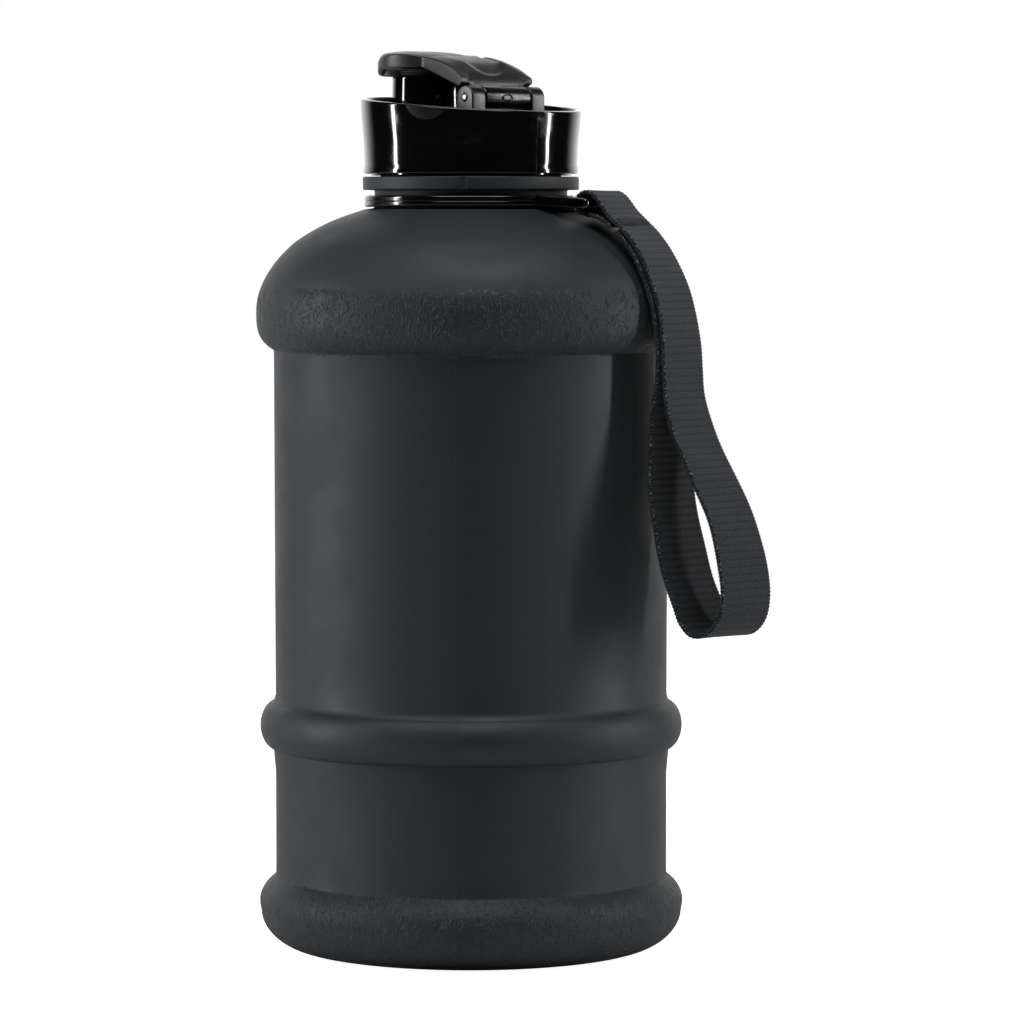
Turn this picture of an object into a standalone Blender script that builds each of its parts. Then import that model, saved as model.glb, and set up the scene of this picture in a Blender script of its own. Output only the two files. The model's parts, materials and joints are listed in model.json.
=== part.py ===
"""Half-gallon water jug: turned bottle, screw cap with flip lid, swivelling collar and wrist strap.

Metres, +Z up. The origin is the centre of the bottle's base on the surface it stands on. The spout is on
the -X side, the lid's hinge pin runs along Y on the +X side, and the strap's lug points LUG_ANGLE from +X.
"""

from math import atan2, cos, pi, radians, sin, sqrt

import bmesh
import bpy
from mathutils import Matrix, Vector

MM = 0.001
SIDES = 48

# Bottle
WALL = 1.5 * MM
BARREL_RADIUS = 55.55 * MM
NECK_RADIUS = 25.4 * MM
BORE_RADIUS = 23.2 * MM
NECK_TOP = 230.7 * MM
THROAT_RADIUS = 27.2 * MM
SUPPORT_RING_RADIUS = 30.5 * MM
SUPPORT_RING_BOTTOM = 214.7 * MM
SUPPORT_RING_TOP = 218.4 * MM
SHOULDER_RADIUS = 60.7 * MM
WAIST_RADIUS = 59.85 * MM
WAIST_HEIGHT = 63.4 * MM
WAIST_HALF = 6.5 * MM
BASE_RADIUS = 60.1 * MM
BASE_HEIGHT = 13.6 * MM
FOOT_OUTER = 47.0 * MM
FOOT_INNER = 43.5 * MM
PUNT_DEPTH = 7.0 * MM

# Screw thread, right-handed
PITCH = 5.0 * MM
THREAD_RADIUS = 1.3 * MM
NECK_THREAD = {"radius": 25.7 * MM, "start": 221.3 * MM, "turns": 1.4}
CAP_THREAD = {"radius": 27.5 * MM, "start": 223.8 * MM, "turns": 1.2}

# Cap
CAP_BOTTOM = 219.8 * MM
CAP_INNER = 28.0 * MM
CAP_WALL_BOTTOM = 30.2 * MM
CAP_WALL_TOP = 31.3 * MM
CAP_LIP_RADIUS = 30.7 * MM
RIM_WALL = 1.7 * MM
DECK_TOP = 234.5 * MM
DECK_BOTTOM = 232.5 * MM
RIM_MIDDLE = 238.9 * MM
RIM_SLOPE = 0.0806
RIM_BLANK_TOP = 243.0 * MM

# Liner
LINER_OUTER = 27.2 * MM
LINER_INNER = 21.5 * MM
LINER_BOTTOM = 231.0 * MM
LINER_TOP = 232.2 * MM

# Spout and plug
SPOUT_X = -17.6 * MM
SPOUT_RADIUS = 9.7 * MM
SPOUT_BORE = 7.4 * MM
SPOUT_TOP = 246.9 * MM
PLUG_FLANGE_RADIUS = 8.2 * MM
PLUG_FLANGE_BOTTOM = 247.2 * MM
PLUG_TOP = 248.6 * MM
PLUG_STEM_TOP_RADIUS = 6.9 * MM
PLUG_STEM_TIP_RADIUS = 6.0 * MM
PLUG_TIP = 243.4 * MM

# Lid and hinge
HINGE_X = 12.5 * MM
HINGE_Z = 240.4 * MM
PIN_RADIUS = 1.0 * MM
PIN_BORE = 1.3 * MM
PIN_HALF_LENGTH = 14.1 * MM
KNUCKLE_RADIUS = 3.3 * MM
KNUCKLE_INNER = 8.8 * MM
KNUCKLE_OUTER = 13.8 * MM
LID_BARREL_HALF = 8.5 * MM
LID_BOTTOM = 248.9 * MM
LID_TOP = 252.7 * MM
LID_DISC_RADIUS = 14.6 * MM
LID_WAIST_X = -8.0 * MM
LID_WAIST_HALF = 10.9 * MM
LID_END_X = 10.9 * MM
LID_END_HALF = 13.5 * MM
LID_END_TOP = 245.4 * MM
LID_BEND_X = -6.0 * MM
LID_BEND_POWER = 1.6
LID_WEB_WIDTH = 3.4 * MM
FINGER_LIP = (1.8 * MM, 9.0 * MM, 1.4 * MM)
RIB_WIDTH = 5.6 * MM

# Collar and strap
LUG_ANGLE = radians(19)
COLLAR_INNER = 27.6 * MM
COLLAR_OUTER = 30.2 * MM
COLLAR_BOTTOM = 209.9 * MM
COLLAR_TOP = 213.1 * MM
COLLAR_ROUND = 0.7 * MM
LUG_BAR_RADIUS = 41.5 * MM
LUG_BAR_HEIGHT = 210.8 * MM
LUG_BAR_HALF = 1.8 * MM
LUG_HALF_WIDTH = 12.8 * MM
LUG_CORNER = 3.0 * MM
SLOT_HALF_WIDTH = 10.8 * MM
SLOT_INNER = 33.6 * MM
STRAP_WIDTH = 20.0 * MM
STRAP_THICKNESS = 1.3 * MM
STRAP_TWIST = radians(18)
STRAP_TWIST_TOP = 205.0 * MM
STRAP_TWIST_BOTTOM = 95.0 * MM
STRAP_SPACING = 1.7 * MM

# The strap's middle line: distance from the bottle's axis and height, in millimetres
STRAP_ROUTE = [
    (49.0, 204.5), (46.6, 206.2), (44.2, 207.25), (41.7, 207.7),
    (39.3, 208.6), (38.4, 210.8), (39.3, 213.0), (41.5, 213.9), (43.9, 212.8),
    (47.6, 208.4), (50.9, 205.3), (54.0, 202.4), (58.0, 197.3), (62.4, 188.4),
    (64.8, 180.6), (66.1, 172.6), (66.5, 165.0), (67.2, 157.0), (70.3, 146.7),
    (76.3, 134.8), (81.8, 123.2), (84.9, 112.0), (86.0, 102.5), (84.6, 96.2),
    (81.0, 92.4), (76.8, 92.1), (73.6, 95.2), (71.4, 100.0), (68.4, 107.3),
    (65.6, 118.0), (63.6, 128.0), (62.7, 137.0), (62.8, 146.0), (63.4, 154.0),
    (64.2, 161.5), (64.5, 166.5), (64.3, 172.3), (63.0, 180.2), (60.7, 187.7),
    (56.4, 196.5), (52.6, 201.3), (50.7, 203.2),
]

# The tack on the strap's outer face: its middle on the strap's middle line, in millimetres, and its zigzag
STITCH_MIDDLE = (50.9, 205.3)
STITCH_LIFT = 1.3 * MM
STITCH_RADIUS = 0.3 * MM
STITCH_COUNT = 15
STITCH_SPAN = 16.0 * MM
STITCH_REACH = 1.6 * MM
STITCH_SLOPE = atan2(-2.95, 3.2)


def clear_scene():
    for item in list(bpy.data.objects):
        bpy.data.objects.remove(item, do_unlink=True)


def make_collection(name):
    collection = bpy.data.collections.new(name)
    bpy.context.scene.collection.children.link(collection)
    return collection


def make_material(name, colour, roughness, metallic=0.0):
    material = bpy.data.materials.new(name)
    material.use_nodes = True
    shader = material.node_tree.nodes["Principled BSDF"]
    shader.inputs["Base Color"].default_value = (*colour, 1.0)
    shader.inputs["Roughness"].default_value = roughness
    shader.inputs["Metallic"].default_value = metallic
    return material


def add_object(name, mesh, collection):
    piece = bpy.data.objects.new(name, mesh)
    collection.objects.link(piece)
    return piece


def turned(name, points, collection, closed=False):
    """A line of (radius, height) points, turned about Z by a Screw modifier; a closed line makes a ring."""
    edges = [(i, i + 1) for i in range(len(points) - 1)]
    if closed:
        edges.append((len(points) - 1, 0))
    mesh = bpy.data.meshes.new(name)
    mesh.from_pydata([(r, 0.0, z) for r, z in points], edges, [])
    piece = add_object(name, mesh, collection)
    screw = piece.modifiers.new("turn", "SCREW")
    screw.steps = SIDES
    screw.render_steps = SIDES
    screw.use_merge_vertices = True
    screw.merge_threshold = 0.00001
    return piece


def cylinder(name, radius, length, location, collection, along_y=False, tip_radius=None, sides=SIDES):
    """A capped cylinder or cone; its wide end is at +Z (or +Y) when a tip radius is given."""
    mesh = bpy.data.meshes.new(name)
    shape = bmesh.new()
    bmesh.ops.create_cone(
        shape, cap_ends=True, segments=sides, depth=length,
        radius1=radius if tip_radius is None else tip_radius, radius2=radius,
    )
    if along_y:
        bmesh.ops.rotate(shape, verts=shape.verts, matrix=Matrix.Rotation(-pi / 2, 3, "X"))
    shape.to_mesh(mesh)
    shape.free()
    piece = add_object(name, mesh, collection)
    piece.location = location
    return piece


def box(name, size, location, collection):
    mesh = bpy.data.meshes.new(name)
    shape = bmesh.new()
    bmesh.ops.create_cube(shape, size=1.0)
    bmesh.ops.scale(shape, verts=shape.verts, vec=size)
    shape.to_mesh(mesh)
    shape.free()
    piece = add_object(name, mesh, collection)
    piece.location = location
    return piece


def outline(name, loops, half_thickness, collection):
    """A flat plate from closed loops of (x, y) points; the loops inside the first one are its holes."""
    curve = bpy.data.curves.new(name, "CURVE")
    curve.dimensions = "2D"
    curve.fill_mode = "BOTH"
    curve.extrude = half_thickness
    for loop in loops:
        spline = curve.splines.new("POLY")
        spline.points.add(len(loop) - 1)
        for point, (x, y) in zip(spline.points, loop):
            point.co = (x, y, 0.0, 1.0)
        spline.use_cyclic_u = True
    source = add_object(name + "_outline", curve, collection)
    return as_mesh(source, name, collection)


def as_mesh(source, name, collection):
    """Replaces a curve object by a welded mesh object."""
    bpy.context.view_layer.update()
    evaluated = source.evaluated_get(bpy.context.evaluated_depsgraph_get())
    mesh = bpy.data.meshes.new_from_object(evaluated)
    shape = bmesh.new()
    shape.from_mesh(mesh)
    bmesh.ops.remove_doubles(shape, verts=shape.verts, dist=0.00001)
    bmesh.ops.recalc_face_normals(shape, faces=shape.faces)
    shape.to_mesh(mesh)
    shape.free()
    piece = add_object(name, mesh, collection)
    piece.matrix_world = source.matrix_world
    bpy.data.objects.remove(source, do_unlink=True)
    return piece


def thread(name, spec, collection):
    """A helical ridge, half sunk into the wall that carries it."""
    steps = int(SIDES * 0.75)
    count = int(spec["turns"] * steps) + 1
    curve = bpy.data.curves.new(name, "CURVE")
    curve.dimensions = "3D"
    curve.bevel_depth = THREAD_RADIUS
    curve.bevel_resolution = 1
    curve.use_fill_caps = True
    spline = curve.splines.new("POLY")
    spline.points.add(count - 1)
    for i, point in enumerate(spline.points):
        turn = i / steps
        angle = 2 * pi * turn
        height = spec["start"] + PITCH * turn
        point.co = (spec["radius"] * cos(angle), spec["radius"] * sin(angle), height, 1.0)
    source = add_object(name + "_path", curve, collection)
    return as_mesh(source, name, collection)


def combine(piece, other, operation):
    modifier = piece.modifiers.new(other.name, "BOOLEAN")
    modifier.operation = operation
    modifier.solver = "EXACT"
    modifier.object = other


def finish(piece, material, sharp_angle=35):
    piece.data.materials.clear()
    piece.data.materials.append(material)
    piece.data.shade_smooth()
    piece.data.set_sharp_from_angle(angle=radians(sharp_angle))


def rounded_foot(steps):
    """The curve from the base ring down to the foot, a slightly squared quarter ellipse."""
    power = 2 / 1.85
    for i in range(1, steps + 1):
        angle = pi / 2 * i / steps
        radius = FOOT_OUTER + (BASE_RADIUS - 0.2 * MM - FOOT_OUTER) * max(cos(angle), 0.0) ** power
        yield radius, 11.7 * MM * (1 - sin(angle) ** power)


def ring_bulge(radius, height, half, wall_radius, steps):
    """Points down a half-round band that stands out of a wall."""
    for i in range(steps + 1):
        angle = pi * i / steps
        yield wall_radius + (radius - wall_radius) * sin(angle), height + half * cos(angle)


def shoulder_points():
    """The dome from the throat to the widest point of the shoulder band."""
    dome = [(30.2, 209.2), (32.3, 208.5), (37.2, 206.8), (41.1, 205.1), (44.4, 203.4), (47.2, 201.7),
            (49.7, 200.0), (51.5, 198.3), (53.3, 196.7), (54.9, 195.0), (56.1, 193.3), (57.8, 191.0),
            (59.2, 188.2), (60.3, 184.8)]
    return [(r * MM, z * MM) for r, z in dome]


def bottle_outside():
    """The outer side, from the lip down to the middle of the base."""
    points = [(NECK_RADIUS - 0.4 * MM, NECK_TOP), (NECK_RADIUS, NECK_TOP - 0.4 * MM),
              (NECK_RADIUS, SUPPORT_RING_TOP),
              (SUPPORT_RING_RADIUS - 0.5 * MM, SUPPORT_RING_TOP),
              (SUPPORT_RING_RADIUS, SUPPORT_RING_TOP - 0.5 * MM),
              (SUPPORT_RING_RADIUS, SUPPORT_RING_BOTTOM + 0.5 * MM),
              (SUPPORT_RING_RADIUS - 0.5 * MM, SUPPORT_RING_BOTTOM),
              (THROAT_RADIUS, SUPPORT_RING_BOTTOM), (THROAT_RADIUS, 209.55 * MM)]
    points += shoulder_points()
    points += [(SHOULDER_RADIUS, 180.0 * MM), (60.5 * MM, 175.6 * MM), (59.4 * MM, 172.8 * MM),
               (57.4 * MM, 170.7 * MM), (BARREL_RADIUS + 0.2 * MM, 169.2 * MM)]
    points += ring_bulge(WAIST_RADIUS, WAIST_HEIGHT, WAIST_HALF, BARREL_RADIUS, 7)
    points += [(BARREL_RADIUS, 21.0 * MM), (56.6 * MM, 19.7 * MM), (58.6 * MM, 17.9 * MM),
               (59.8 * MM, 16.0 * MM), (BASE_RADIUS, BASE_HEIGHT), (BASE_RADIUS - 0.2 * MM, 11.7 * MM)]
    points += rounded_foot(6)
    points += [(FOOT_INNER, 0.0), (41.0 * MM, 1.5 * MM), (34.0 * MM, 4.2 * MM),
               (22.0 * MM, 6.2 * MM), (0.0, PUNT_DEPTH)]
    return points


def bottle_inside():
    """The inner side, from the middle of the floor up to the lip."""
    return [(0.0, PUNT_DEPTH + WALL), (22.0 * MM, 6.2 * MM + WALL), (34.0 * MM, 4.2 * MM + WALL),
            (42.0 * MM, 2.6 * MM), (47.0 * MM, 2.2 * MM), (52.5 * MM, 3.9 * MM), (56.6 * MM, 7.4 * MM),
            (58.4 * MM, 11.9 * MM), (58.2 * MM, 14.8 * MM), (54.0 * MM, 20.4 * MM),
            (54.0 * MM, 57.6 * MM), (57.6 * MM, 60.6 * MM), (58.2 * MM, 63.4 * MM), (57.6 * MM, 66.2 * MM),
            (54.0 * MM, 69.4 * MM), (54.1 * MM, 169.4 * MM), (57.9 * MM, 173.2 * MM),
            (59.1 * MM, 178.0 * MM), (58.7 * MM, 184.6 * MM), (56.2 * MM, 190.3 * MM),
            (51.9 * MM, 195.7 * MM), (46.2 * MM, 200.4 * MM), (39.9 * MM, 204.0 * MM),
            (32.0 * MM, 206.8 * MM), (26.0 * MM, 208.0 * MM), (BORE_RADIUS, 210.6 * MM),
            (BORE_RADIUS, NECK_TOP - 0.3 * MM), (BORE_RADIUS + 0.3 * MM, NECK_TOP)]


def make_bottle(parts, cutters, material):
    bottle = turned("bottle", bottle_inside() + bottle_outside(), parts)
    combine(bottle, thread("neck_thread", NECK_THREAD, cutters), "UNION")
    finish(bottle, material, 50)


def cap_profile():
    """From the middle of the deck out, over the rim, down the outside and up the threaded inside."""
    outside = [(CAP_WALL_TOP, RIM_BLANK_TOP), (CAP_WALL_TOP, 240.0 * MM), (31.15 * MM, 236.0 * MM),
               (30.7 * MM, 231.0 * MM), (30.3 * MM, 226.0 * MM), (CAP_WALL_BOTTOM, 222.4 * MM),
               (30.3 * MM, 221.2 * MM), (CAP_LIP_RADIUS, 220.6 * MM), (CAP_LIP_RADIUS, CAP_BOTTOM)]
    inside = [(CAP_INNER + 0.6 * MM, CAP_BOTTOM), (CAP_INNER, CAP_BOTTOM + 0.6 * MM),
              (CAP_INNER, DECK_BOTTOM), (0.0, DECK_BOTTOM)]
    top_wall = CAP_WALL_TOP - RIM_WALL
    return [(0.0, DECK_TOP), (top_wall - 1.2 * MM, DECK_TOP), (top_wall - 0.3 * MM, DECK_TOP + 0.9 * MM),
            (top_wall, RIM_BLANK_TOP)] + outside + inside


def rim_cutter(cutters):
    """A block above the slanted rim plane, high on the spout's side and low on the hinge's side."""
    cutter = box("rim_cutter", (0.12, 0.12, 0.02), (0.0, 0.0, 0.0), cutters)
    slope = atan2(RIM_SLOPE, 1.0)
    cutter.rotation_euler = (0.0, slope, 0.0)
    cutter.location = Vector((0.0, 0.0, RIM_MIDDLE)) + Vector((sin(slope), 0.0, cos(slope))) * 0.01
    return cutter


def knuckle_mount(name, middle, width, cutters):
    """A hinge knuckle with the rib that carries it down to the deck."""
    place = (HINGE_X, middle, HINGE_Z)
    knuckle = cylinder(name, KNUCKLE_RADIUS, width, place, cutters, along_y=True, sides=24)
    rib_top = HINGE_Z - 1.0 * MM
    rib_bottom = DECK_TOP - 0.5 * MM
    rib = box(name + "_rib", (RIB_WIDTH, width, rib_top - rib_bottom),
              (HINGE_X, middle, (rib_top + rib_bottom) / 2), cutters)
    combine(knuckle, rib, "UNION")
    return knuckle


def make_cap(parts, cutters, material):
    cap = turned("screw_cap", cap_profile(), parts)
    combine(cap, rim_cutter(cutters), "DIFFERENCE")
    spout_foot = DECK_TOP - 0.8 * MM
    spout = cylinder("spout_tube", SPOUT_RADIUS, SPOUT_TOP - spout_foot,
                     (SPOUT_X, 0.0, (SPOUT_TOP + spout_foot) / 2), cutters)
    combine(cap, spout, "UNION")
    width = KNUCKLE_OUTER - KNUCKLE_INNER
    for side in (-1, 1):
        middle = side * (KNUCKLE_OUTER + KNUCKLE_INNER) / 2
        name = "left_knuckle" if side < 0 else "right_knuckle"
        combine(cap, knuckle_mount(name, middle, width, cutters), "UNION")
    combine(cap, thread("cap_thread", CAP_THREAD, cutters), "UNION")
    bore = cylinder("spout_bore", SPOUT_BORE, 0.03, (SPOUT_X, 0.0, SPOUT_TOP - 0.008), cutters)
    combine(cap, bore, "DIFFERENCE")
    hole = cylinder("knuckle_hole", PIN_BORE, 0.04, (HINGE_X, 0.0, HINGE_Z), cutters, along_y=True, sides=16)
    combine(cap, hole, "DIFFERENCE")
    finish(cap, material)


def make_liner(parts, material):
    section = [(LINER_INNER, LINER_TOP), (LINER_OUTER, LINER_TOP),
               (LINER_OUTER, LINER_BOTTOM), (LINER_INNER, LINER_BOTTOM)]
    finish(turned("cap_liner", section, parts, closed=True), material)


def make_plug(parts, cutters, hinge, material):
    flange_height = PLUG_TOP - PLUG_FLANGE_BOTTOM
    plug = cylinder("spout_plug", PLUG_FLANGE_RADIUS, flange_height,
                    (SPOUT_X, 0.0, PLUG_TOP - flange_height / 2), parts)
    stem_top = PLUG_FLANGE_BOTTOM + 0.5 * MM
    stem = cylinder("plug_stem", PLUG_STEM_TOP_RADIUS, stem_top - PLUG_TIP,
                    (SPOUT_X, 0.0, (stem_top + PLUG_TIP) / 2), cutters, tip_radius=PLUG_STEM_TIP_RADIUS)
    combine(plug, stem, "UNION")
    finish(plug, material)
    carry(plug, hinge)


def make_pin(parts, material):
    pin = cylinder("hinge_pin", PIN_RADIUS, 2 * PIN_HALF_LENGTH, (HINGE_X, 0.0, HINGE_Z), parts,
                   along_y=True, sides=16)
    finish(pin, material)


def lid_plan():
    """The lid seen from above: a disc over the spout, a waist, and a flare to the hinge end."""
    points = []
    join = atan2(LID_WAIST_HALF, LID_WAIST_X - SPOUT_X)
    steps = 26
    for i in range(steps + 1):
        angle = join + (2 * pi - 2 * join) * i / steps
        points.append((SPOUT_X + LID_DISC_RADIUS * cos(angle), LID_DISC_RADIUS * sin(angle)))
    flare = [(-2.0, 11.2), (4.0, 12.4), (8.0, 13.2)]
    lower = [(x * MM, -half * MM) for x, half in flare]
    return points + lower + [(LID_END_X, -LID_END_HALF), (LID_END_X, LID_END_HALF)] + [
        (x, -y) for x, y in reversed(lower)]


def lid_top(x):
    """Height of the lid's top surface, flat over the spout and falling towards the hinge."""
    share = max(0.0, (x - LID_BEND_X) / (LID_END_X - LID_BEND_X))
    return LID_TOP - (LID_TOP - LID_END_TOP) * share ** LID_BEND_POWER


def lid_side():
    """The lid seen from the side, as (x, z) points."""
    tip = SPOUT_X - LID_DISC_RADIUS - 1.0 * MM
    bend = [LID_BEND_X + (LID_END_X - LID_BEND_X) * i / 8 for i in range(9)]
    top = [(tip, LID_TOP)] + [(x, lid_top(x)) for x in bend]
    under = [(LID_END_X, 244.0 * MM), (6.0 * MM, 245.2 * MM), (1.0 * MM, 247.6 * MM),
             (-4.0 * MM, LID_BOTTOM), (tip, LID_BOTTOM)]
    return top + under


def make_lid(parts, cutters, hinge, material):
    lid = outline("flip_lid", [lid_plan()], 0.01, parts)
    lid.location.z = LID_TOP - 0.005
    side = outline("lid_side", [lid_side()], 0.02, cutters)
    side.rotation_euler = (pi / 2, 0.0, 0.0)
    combine(lid, side, "INTERSECT")
    barrel = cylinder("lid_barrel", KNUCKLE_RADIUS, 2 * LID_BARREL_HALF, (HINGE_X, 0.0, HINGE_Z), cutters,
                      along_y=True, sides=24)
    web_height = LID_END_TOP - 1.2 * MM - HINGE_Z
    web = box("lid_web", (LID_WEB_WIDTH, 2 * LID_BARREL_HALF, web_height),
              (LID_END_X - LID_WEB_WIDTH / 2, 0.0, HINGE_Z + web_height / 2), cutters)
    combine(barrel, web, "UNION")
    combine(lid, barrel, "UNION")
    hole = cylinder("lid_pin_hole", PIN_BORE, 0.04, (HINGE_X, 0.0, HINGE_Z), cutters, along_y=True, sides=16)
    combine(lid, hole, "DIFFERENCE")
    finger = box("finger_lip", FINGER_LIP,
                 (SPOUT_X - LID_DISC_RADIUS + 1.4 * MM, 0.0, LID_BOTTOM - 0.5 * MM), cutters)
    combine(lid, finger, "UNION")
    finish(lid, material)
    carry(lid, hinge)


def arc(radius, start, end, steps):
    return [(radius * cos(start + (end - start) * i / steps), radius * sin(start + (end - start) * i / steps))
            for i in range(steps + 1)]


def rounded_section(inner, outer, middle, half):
    """A ring's cross-section, down its outer side and up its inner side, with cut corners."""
    cut = COLLAR_ROUND
    return [(inner + cut, middle + half), (outer - cut, middle + half), (outer, middle + half - cut),
            (outer, middle - half + cut), (outer - cut, middle - half), (inner + cut, middle - half),
            (inner, middle - half + cut), (inner, middle + half - cut)]


def make_collar(parts, cutters, swivel, material):
    """The ring round the throat, with the slotted lug that the strap passes through."""
    middle = (COLLAR_TOP + COLLAR_BOTTOM) / 2
    half = (COLLAR_TOP - COLLAR_BOTTOM) / 2
    ring = turned("collar_ring", rounded_section(COLLAR_INNER, COLLAR_OUTER, middle, half), parts, closed=True)
    root = COLLAR_OUTER - 0.9 * MM
    bar_out = LUG_BAR_RADIUS + LUG_BAR_HALF
    bar_in = LUG_BAR_RADIUS - LUG_BAR_HALF
    outer = [(sqrt(root ** 2 - LUG_HALF_WIDTH ** 2), -LUG_HALF_WIDTH), (bar_out - LUG_CORNER, -LUG_HALF_WIDTH),
             (bar_out - 0.3 * LUG_CORNER, -LUG_HALF_WIDTH + 0.3 * LUG_CORNER),
             (bar_out, -LUG_HALF_WIDTH + LUG_CORNER)]
    outer += [(x, -y) for x, y in reversed(outer)]
    root_arc = arc(root, atan2(LUG_HALF_WIDTH, outer[0][0]), -atan2(LUG_HALF_WIDTH, outer[0][0]), 6)[1:-1]
    slot = [(SLOT_INNER, -SLOT_HALF_WIDTH), (bar_in, -SLOT_HALF_WIDTH),
            (bar_in, SLOT_HALF_WIDTH), (SLOT_INNER, SLOT_HALF_WIDTH)]
    lug = outline("lug_plate", [outer + root_arc, slot], half, cutters)
    drop = middle - LUG_BAR_HEIGHT
    tilt = atan2(drop, LUG_BAR_RADIUS - root)
    lug.matrix_world = (Matrix.Rotation(LUG_ANGLE, 4, "Z") @ Matrix.Translation((root, 0, middle))
                        @ Matrix.Rotation(tilt, 4, "Y") @ Matrix.Translation((-root, 0, 0)))
    bevel = lug.modifiers.new("round", "BEVEL")
    bevel.width = COLLAR_ROUND
    bevel.segments = 2
    bevel.limit_method = "ANGLE"
    bevel.angle_limit = radians(50)
    combine(ring, lug, "UNION")
    finish(ring, material)
    carry(ring, swivel)


def smooth_route(points, spacing):
    """Evenly spaced points on a centripetal Catmull-Rom curve through the given ones."""
    knots = [Vector(p) for p in points]
    knots = [2 * knots[0] - knots[1]] + knots + [2 * knots[-1] - knots[-2]]
    dense = []
    for p0, p1, p2, p3 in zip(knots, knots[1:], knots[2:], knots[3:]):
        t1 = (p1 - p0).length ** 0.5
        t2 = t1 + (p2 - p1).length ** 0.5
        t3 = t2 + (p3 - p2).length ** 0.5
        for i in range(16):
            t = t1 + (t2 - t1) * i / 16
            a1 = p0 + (p1 - p0) * (t / t1)
            a2 = p1 + (p2 - p1) * ((t - t1) / (t2 - t1))
            a3 = p2 + (p3 - p2) * ((t - t2) / (t3 - t2))
            b1 = a1 + (a2 - a1) * (t / t2)
            b2 = a2 + (a3 - a2) * ((t - t1) / (t3 - t1))
            dense.append(b1 + (b2 - b1) * ((t - t1) / (t2 - t1)))
    dense.append(knots[-2])
    lengths = [0.0]
    for a, b in zip(dense, dense[1:]):
        lengths.append(lengths[-1] + (b - a).length)
    count = round(lengths[-1] / spacing)
    route = []
    position = 0
    for i in range(count + 1):
        target = lengths[-1] * i / count
        while position < len(dense) - 2 and lengths[position + 1] < target:
            position += 1
        step = lengths[position + 1] - lengths[position]
        route.append(dense[position].lerp(dense[position + 1], (target - lengths[position]) / step))
    return route


def strap_twist(height):
    share = (STRAP_TWIST_TOP - height) / (STRAP_TWIST_TOP - STRAP_TWIST_BOTTOM)
    return STRAP_TWIST * min(max(share, 0.0), 1.0)


def make_strap(parts, swing, material):
    """A flat strip along its route, turned a little about the vertical as it goes down."""
    route = smooth_route([(r * MM, z * MM) for r, z in STRAP_ROUTE], STRAP_SPACING)
    curve = bpy.data.curves.new("wrist_strap", "CURVE")
    curve.dimensions = "2D"
    curve.fill_mode = "NONE"
    curve.extrude = STRAP_WIDTH / 2
    spline = curve.splines.new("POLY")
    spline.points.add(len(route) - 1)
    for point, place in zip(spline.points, route):
        point.co = (place.x, place.y, 0.0, 1.0)
    source = add_object("strap_route", curve, parts)
    strap = as_mesh(source, "wrist_strap", parts)
    turn = Matrix.Rotation(LUG_ANGLE, 3, "Z")
    for vertex in strap.data.vertices:
        radius, height, across = vertex.co
        twist = strap_twist(height)
        vertex.co = turn @ Vector((radius - across * sin(twist), -across * cos(twist), height))
    solid = strap.modifiers.new("thickness", "SOLIDIFY")
    solid.thickness = STRAP_THICKNESS
    solid.offset = 0.0
    solid.use_even_offset = True
    finish(strap, material)
    carry(strap, swing)


def make_stitching(parts, swing, material):
    """A zigzag tack across the strap's outer face, where its ends are sewn under it."""
    start = Vector((STITCH_MIDDLE[0] * MM, 0.0, STITCH_MIDDLE[1] * MM))
    along = Vector((cos(STITCH_SLOPE), 0.0, sin(STITCH_SLOPE)))
    outward = Vector((-along.z, 0.0, along.x))
    curve = bpy.data.curves.new("strap_stitching", "CURVE")
    curve.dimensions = "3D"
    curve.bevel_depth = STITCH_RADIUS
    curve.bevel_resolution = 1
    curve.use_fill_caps = True
    spline = curve.splines.new("POLY")
    spline.points.add(STITCH_COUNT - 1)
    for i, point in enumerate(spline.points):
        across = STITCH_SPAN * (i / (STITCH_COUNT - 1) - 0.5)
        side = 1 if i % 2 else -1
        place = start + along * (side * STITCH_REACH) + outward * STITCH_LIFT + Vector((0, across, 0))
        point.co = (*(Matrix.Rotation(LUG_ANGLE, 3, "Z") @ place), 1.0)
    stitching = as_mesh(add_object("stitch_path", curve, parts), "strap_stitching", parts)
    finish(stitching, material)
    carry(stitching, swing)


def axis_empty(name, location, collection):
    empty = bpy.data.objects.new(name, None)
    empty.location = location
    collection.objects.link(empty)
    return empty


def carry(piece, empty):
    """Parents a piece to the empty on its joint axis without moving it."""
    bpy.context.view_layer.update()
    world = piece.matrix_world.copy()
    piece.parent = empty
    piece.matrix_parent_inverse = empty.matrix_world.inverted()
    piece.matrix_world = world


def hide_cutters(cutters):
    for item in cutters.objects:
        item.hide_render = True
        item.display_type = "WIRE"


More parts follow.
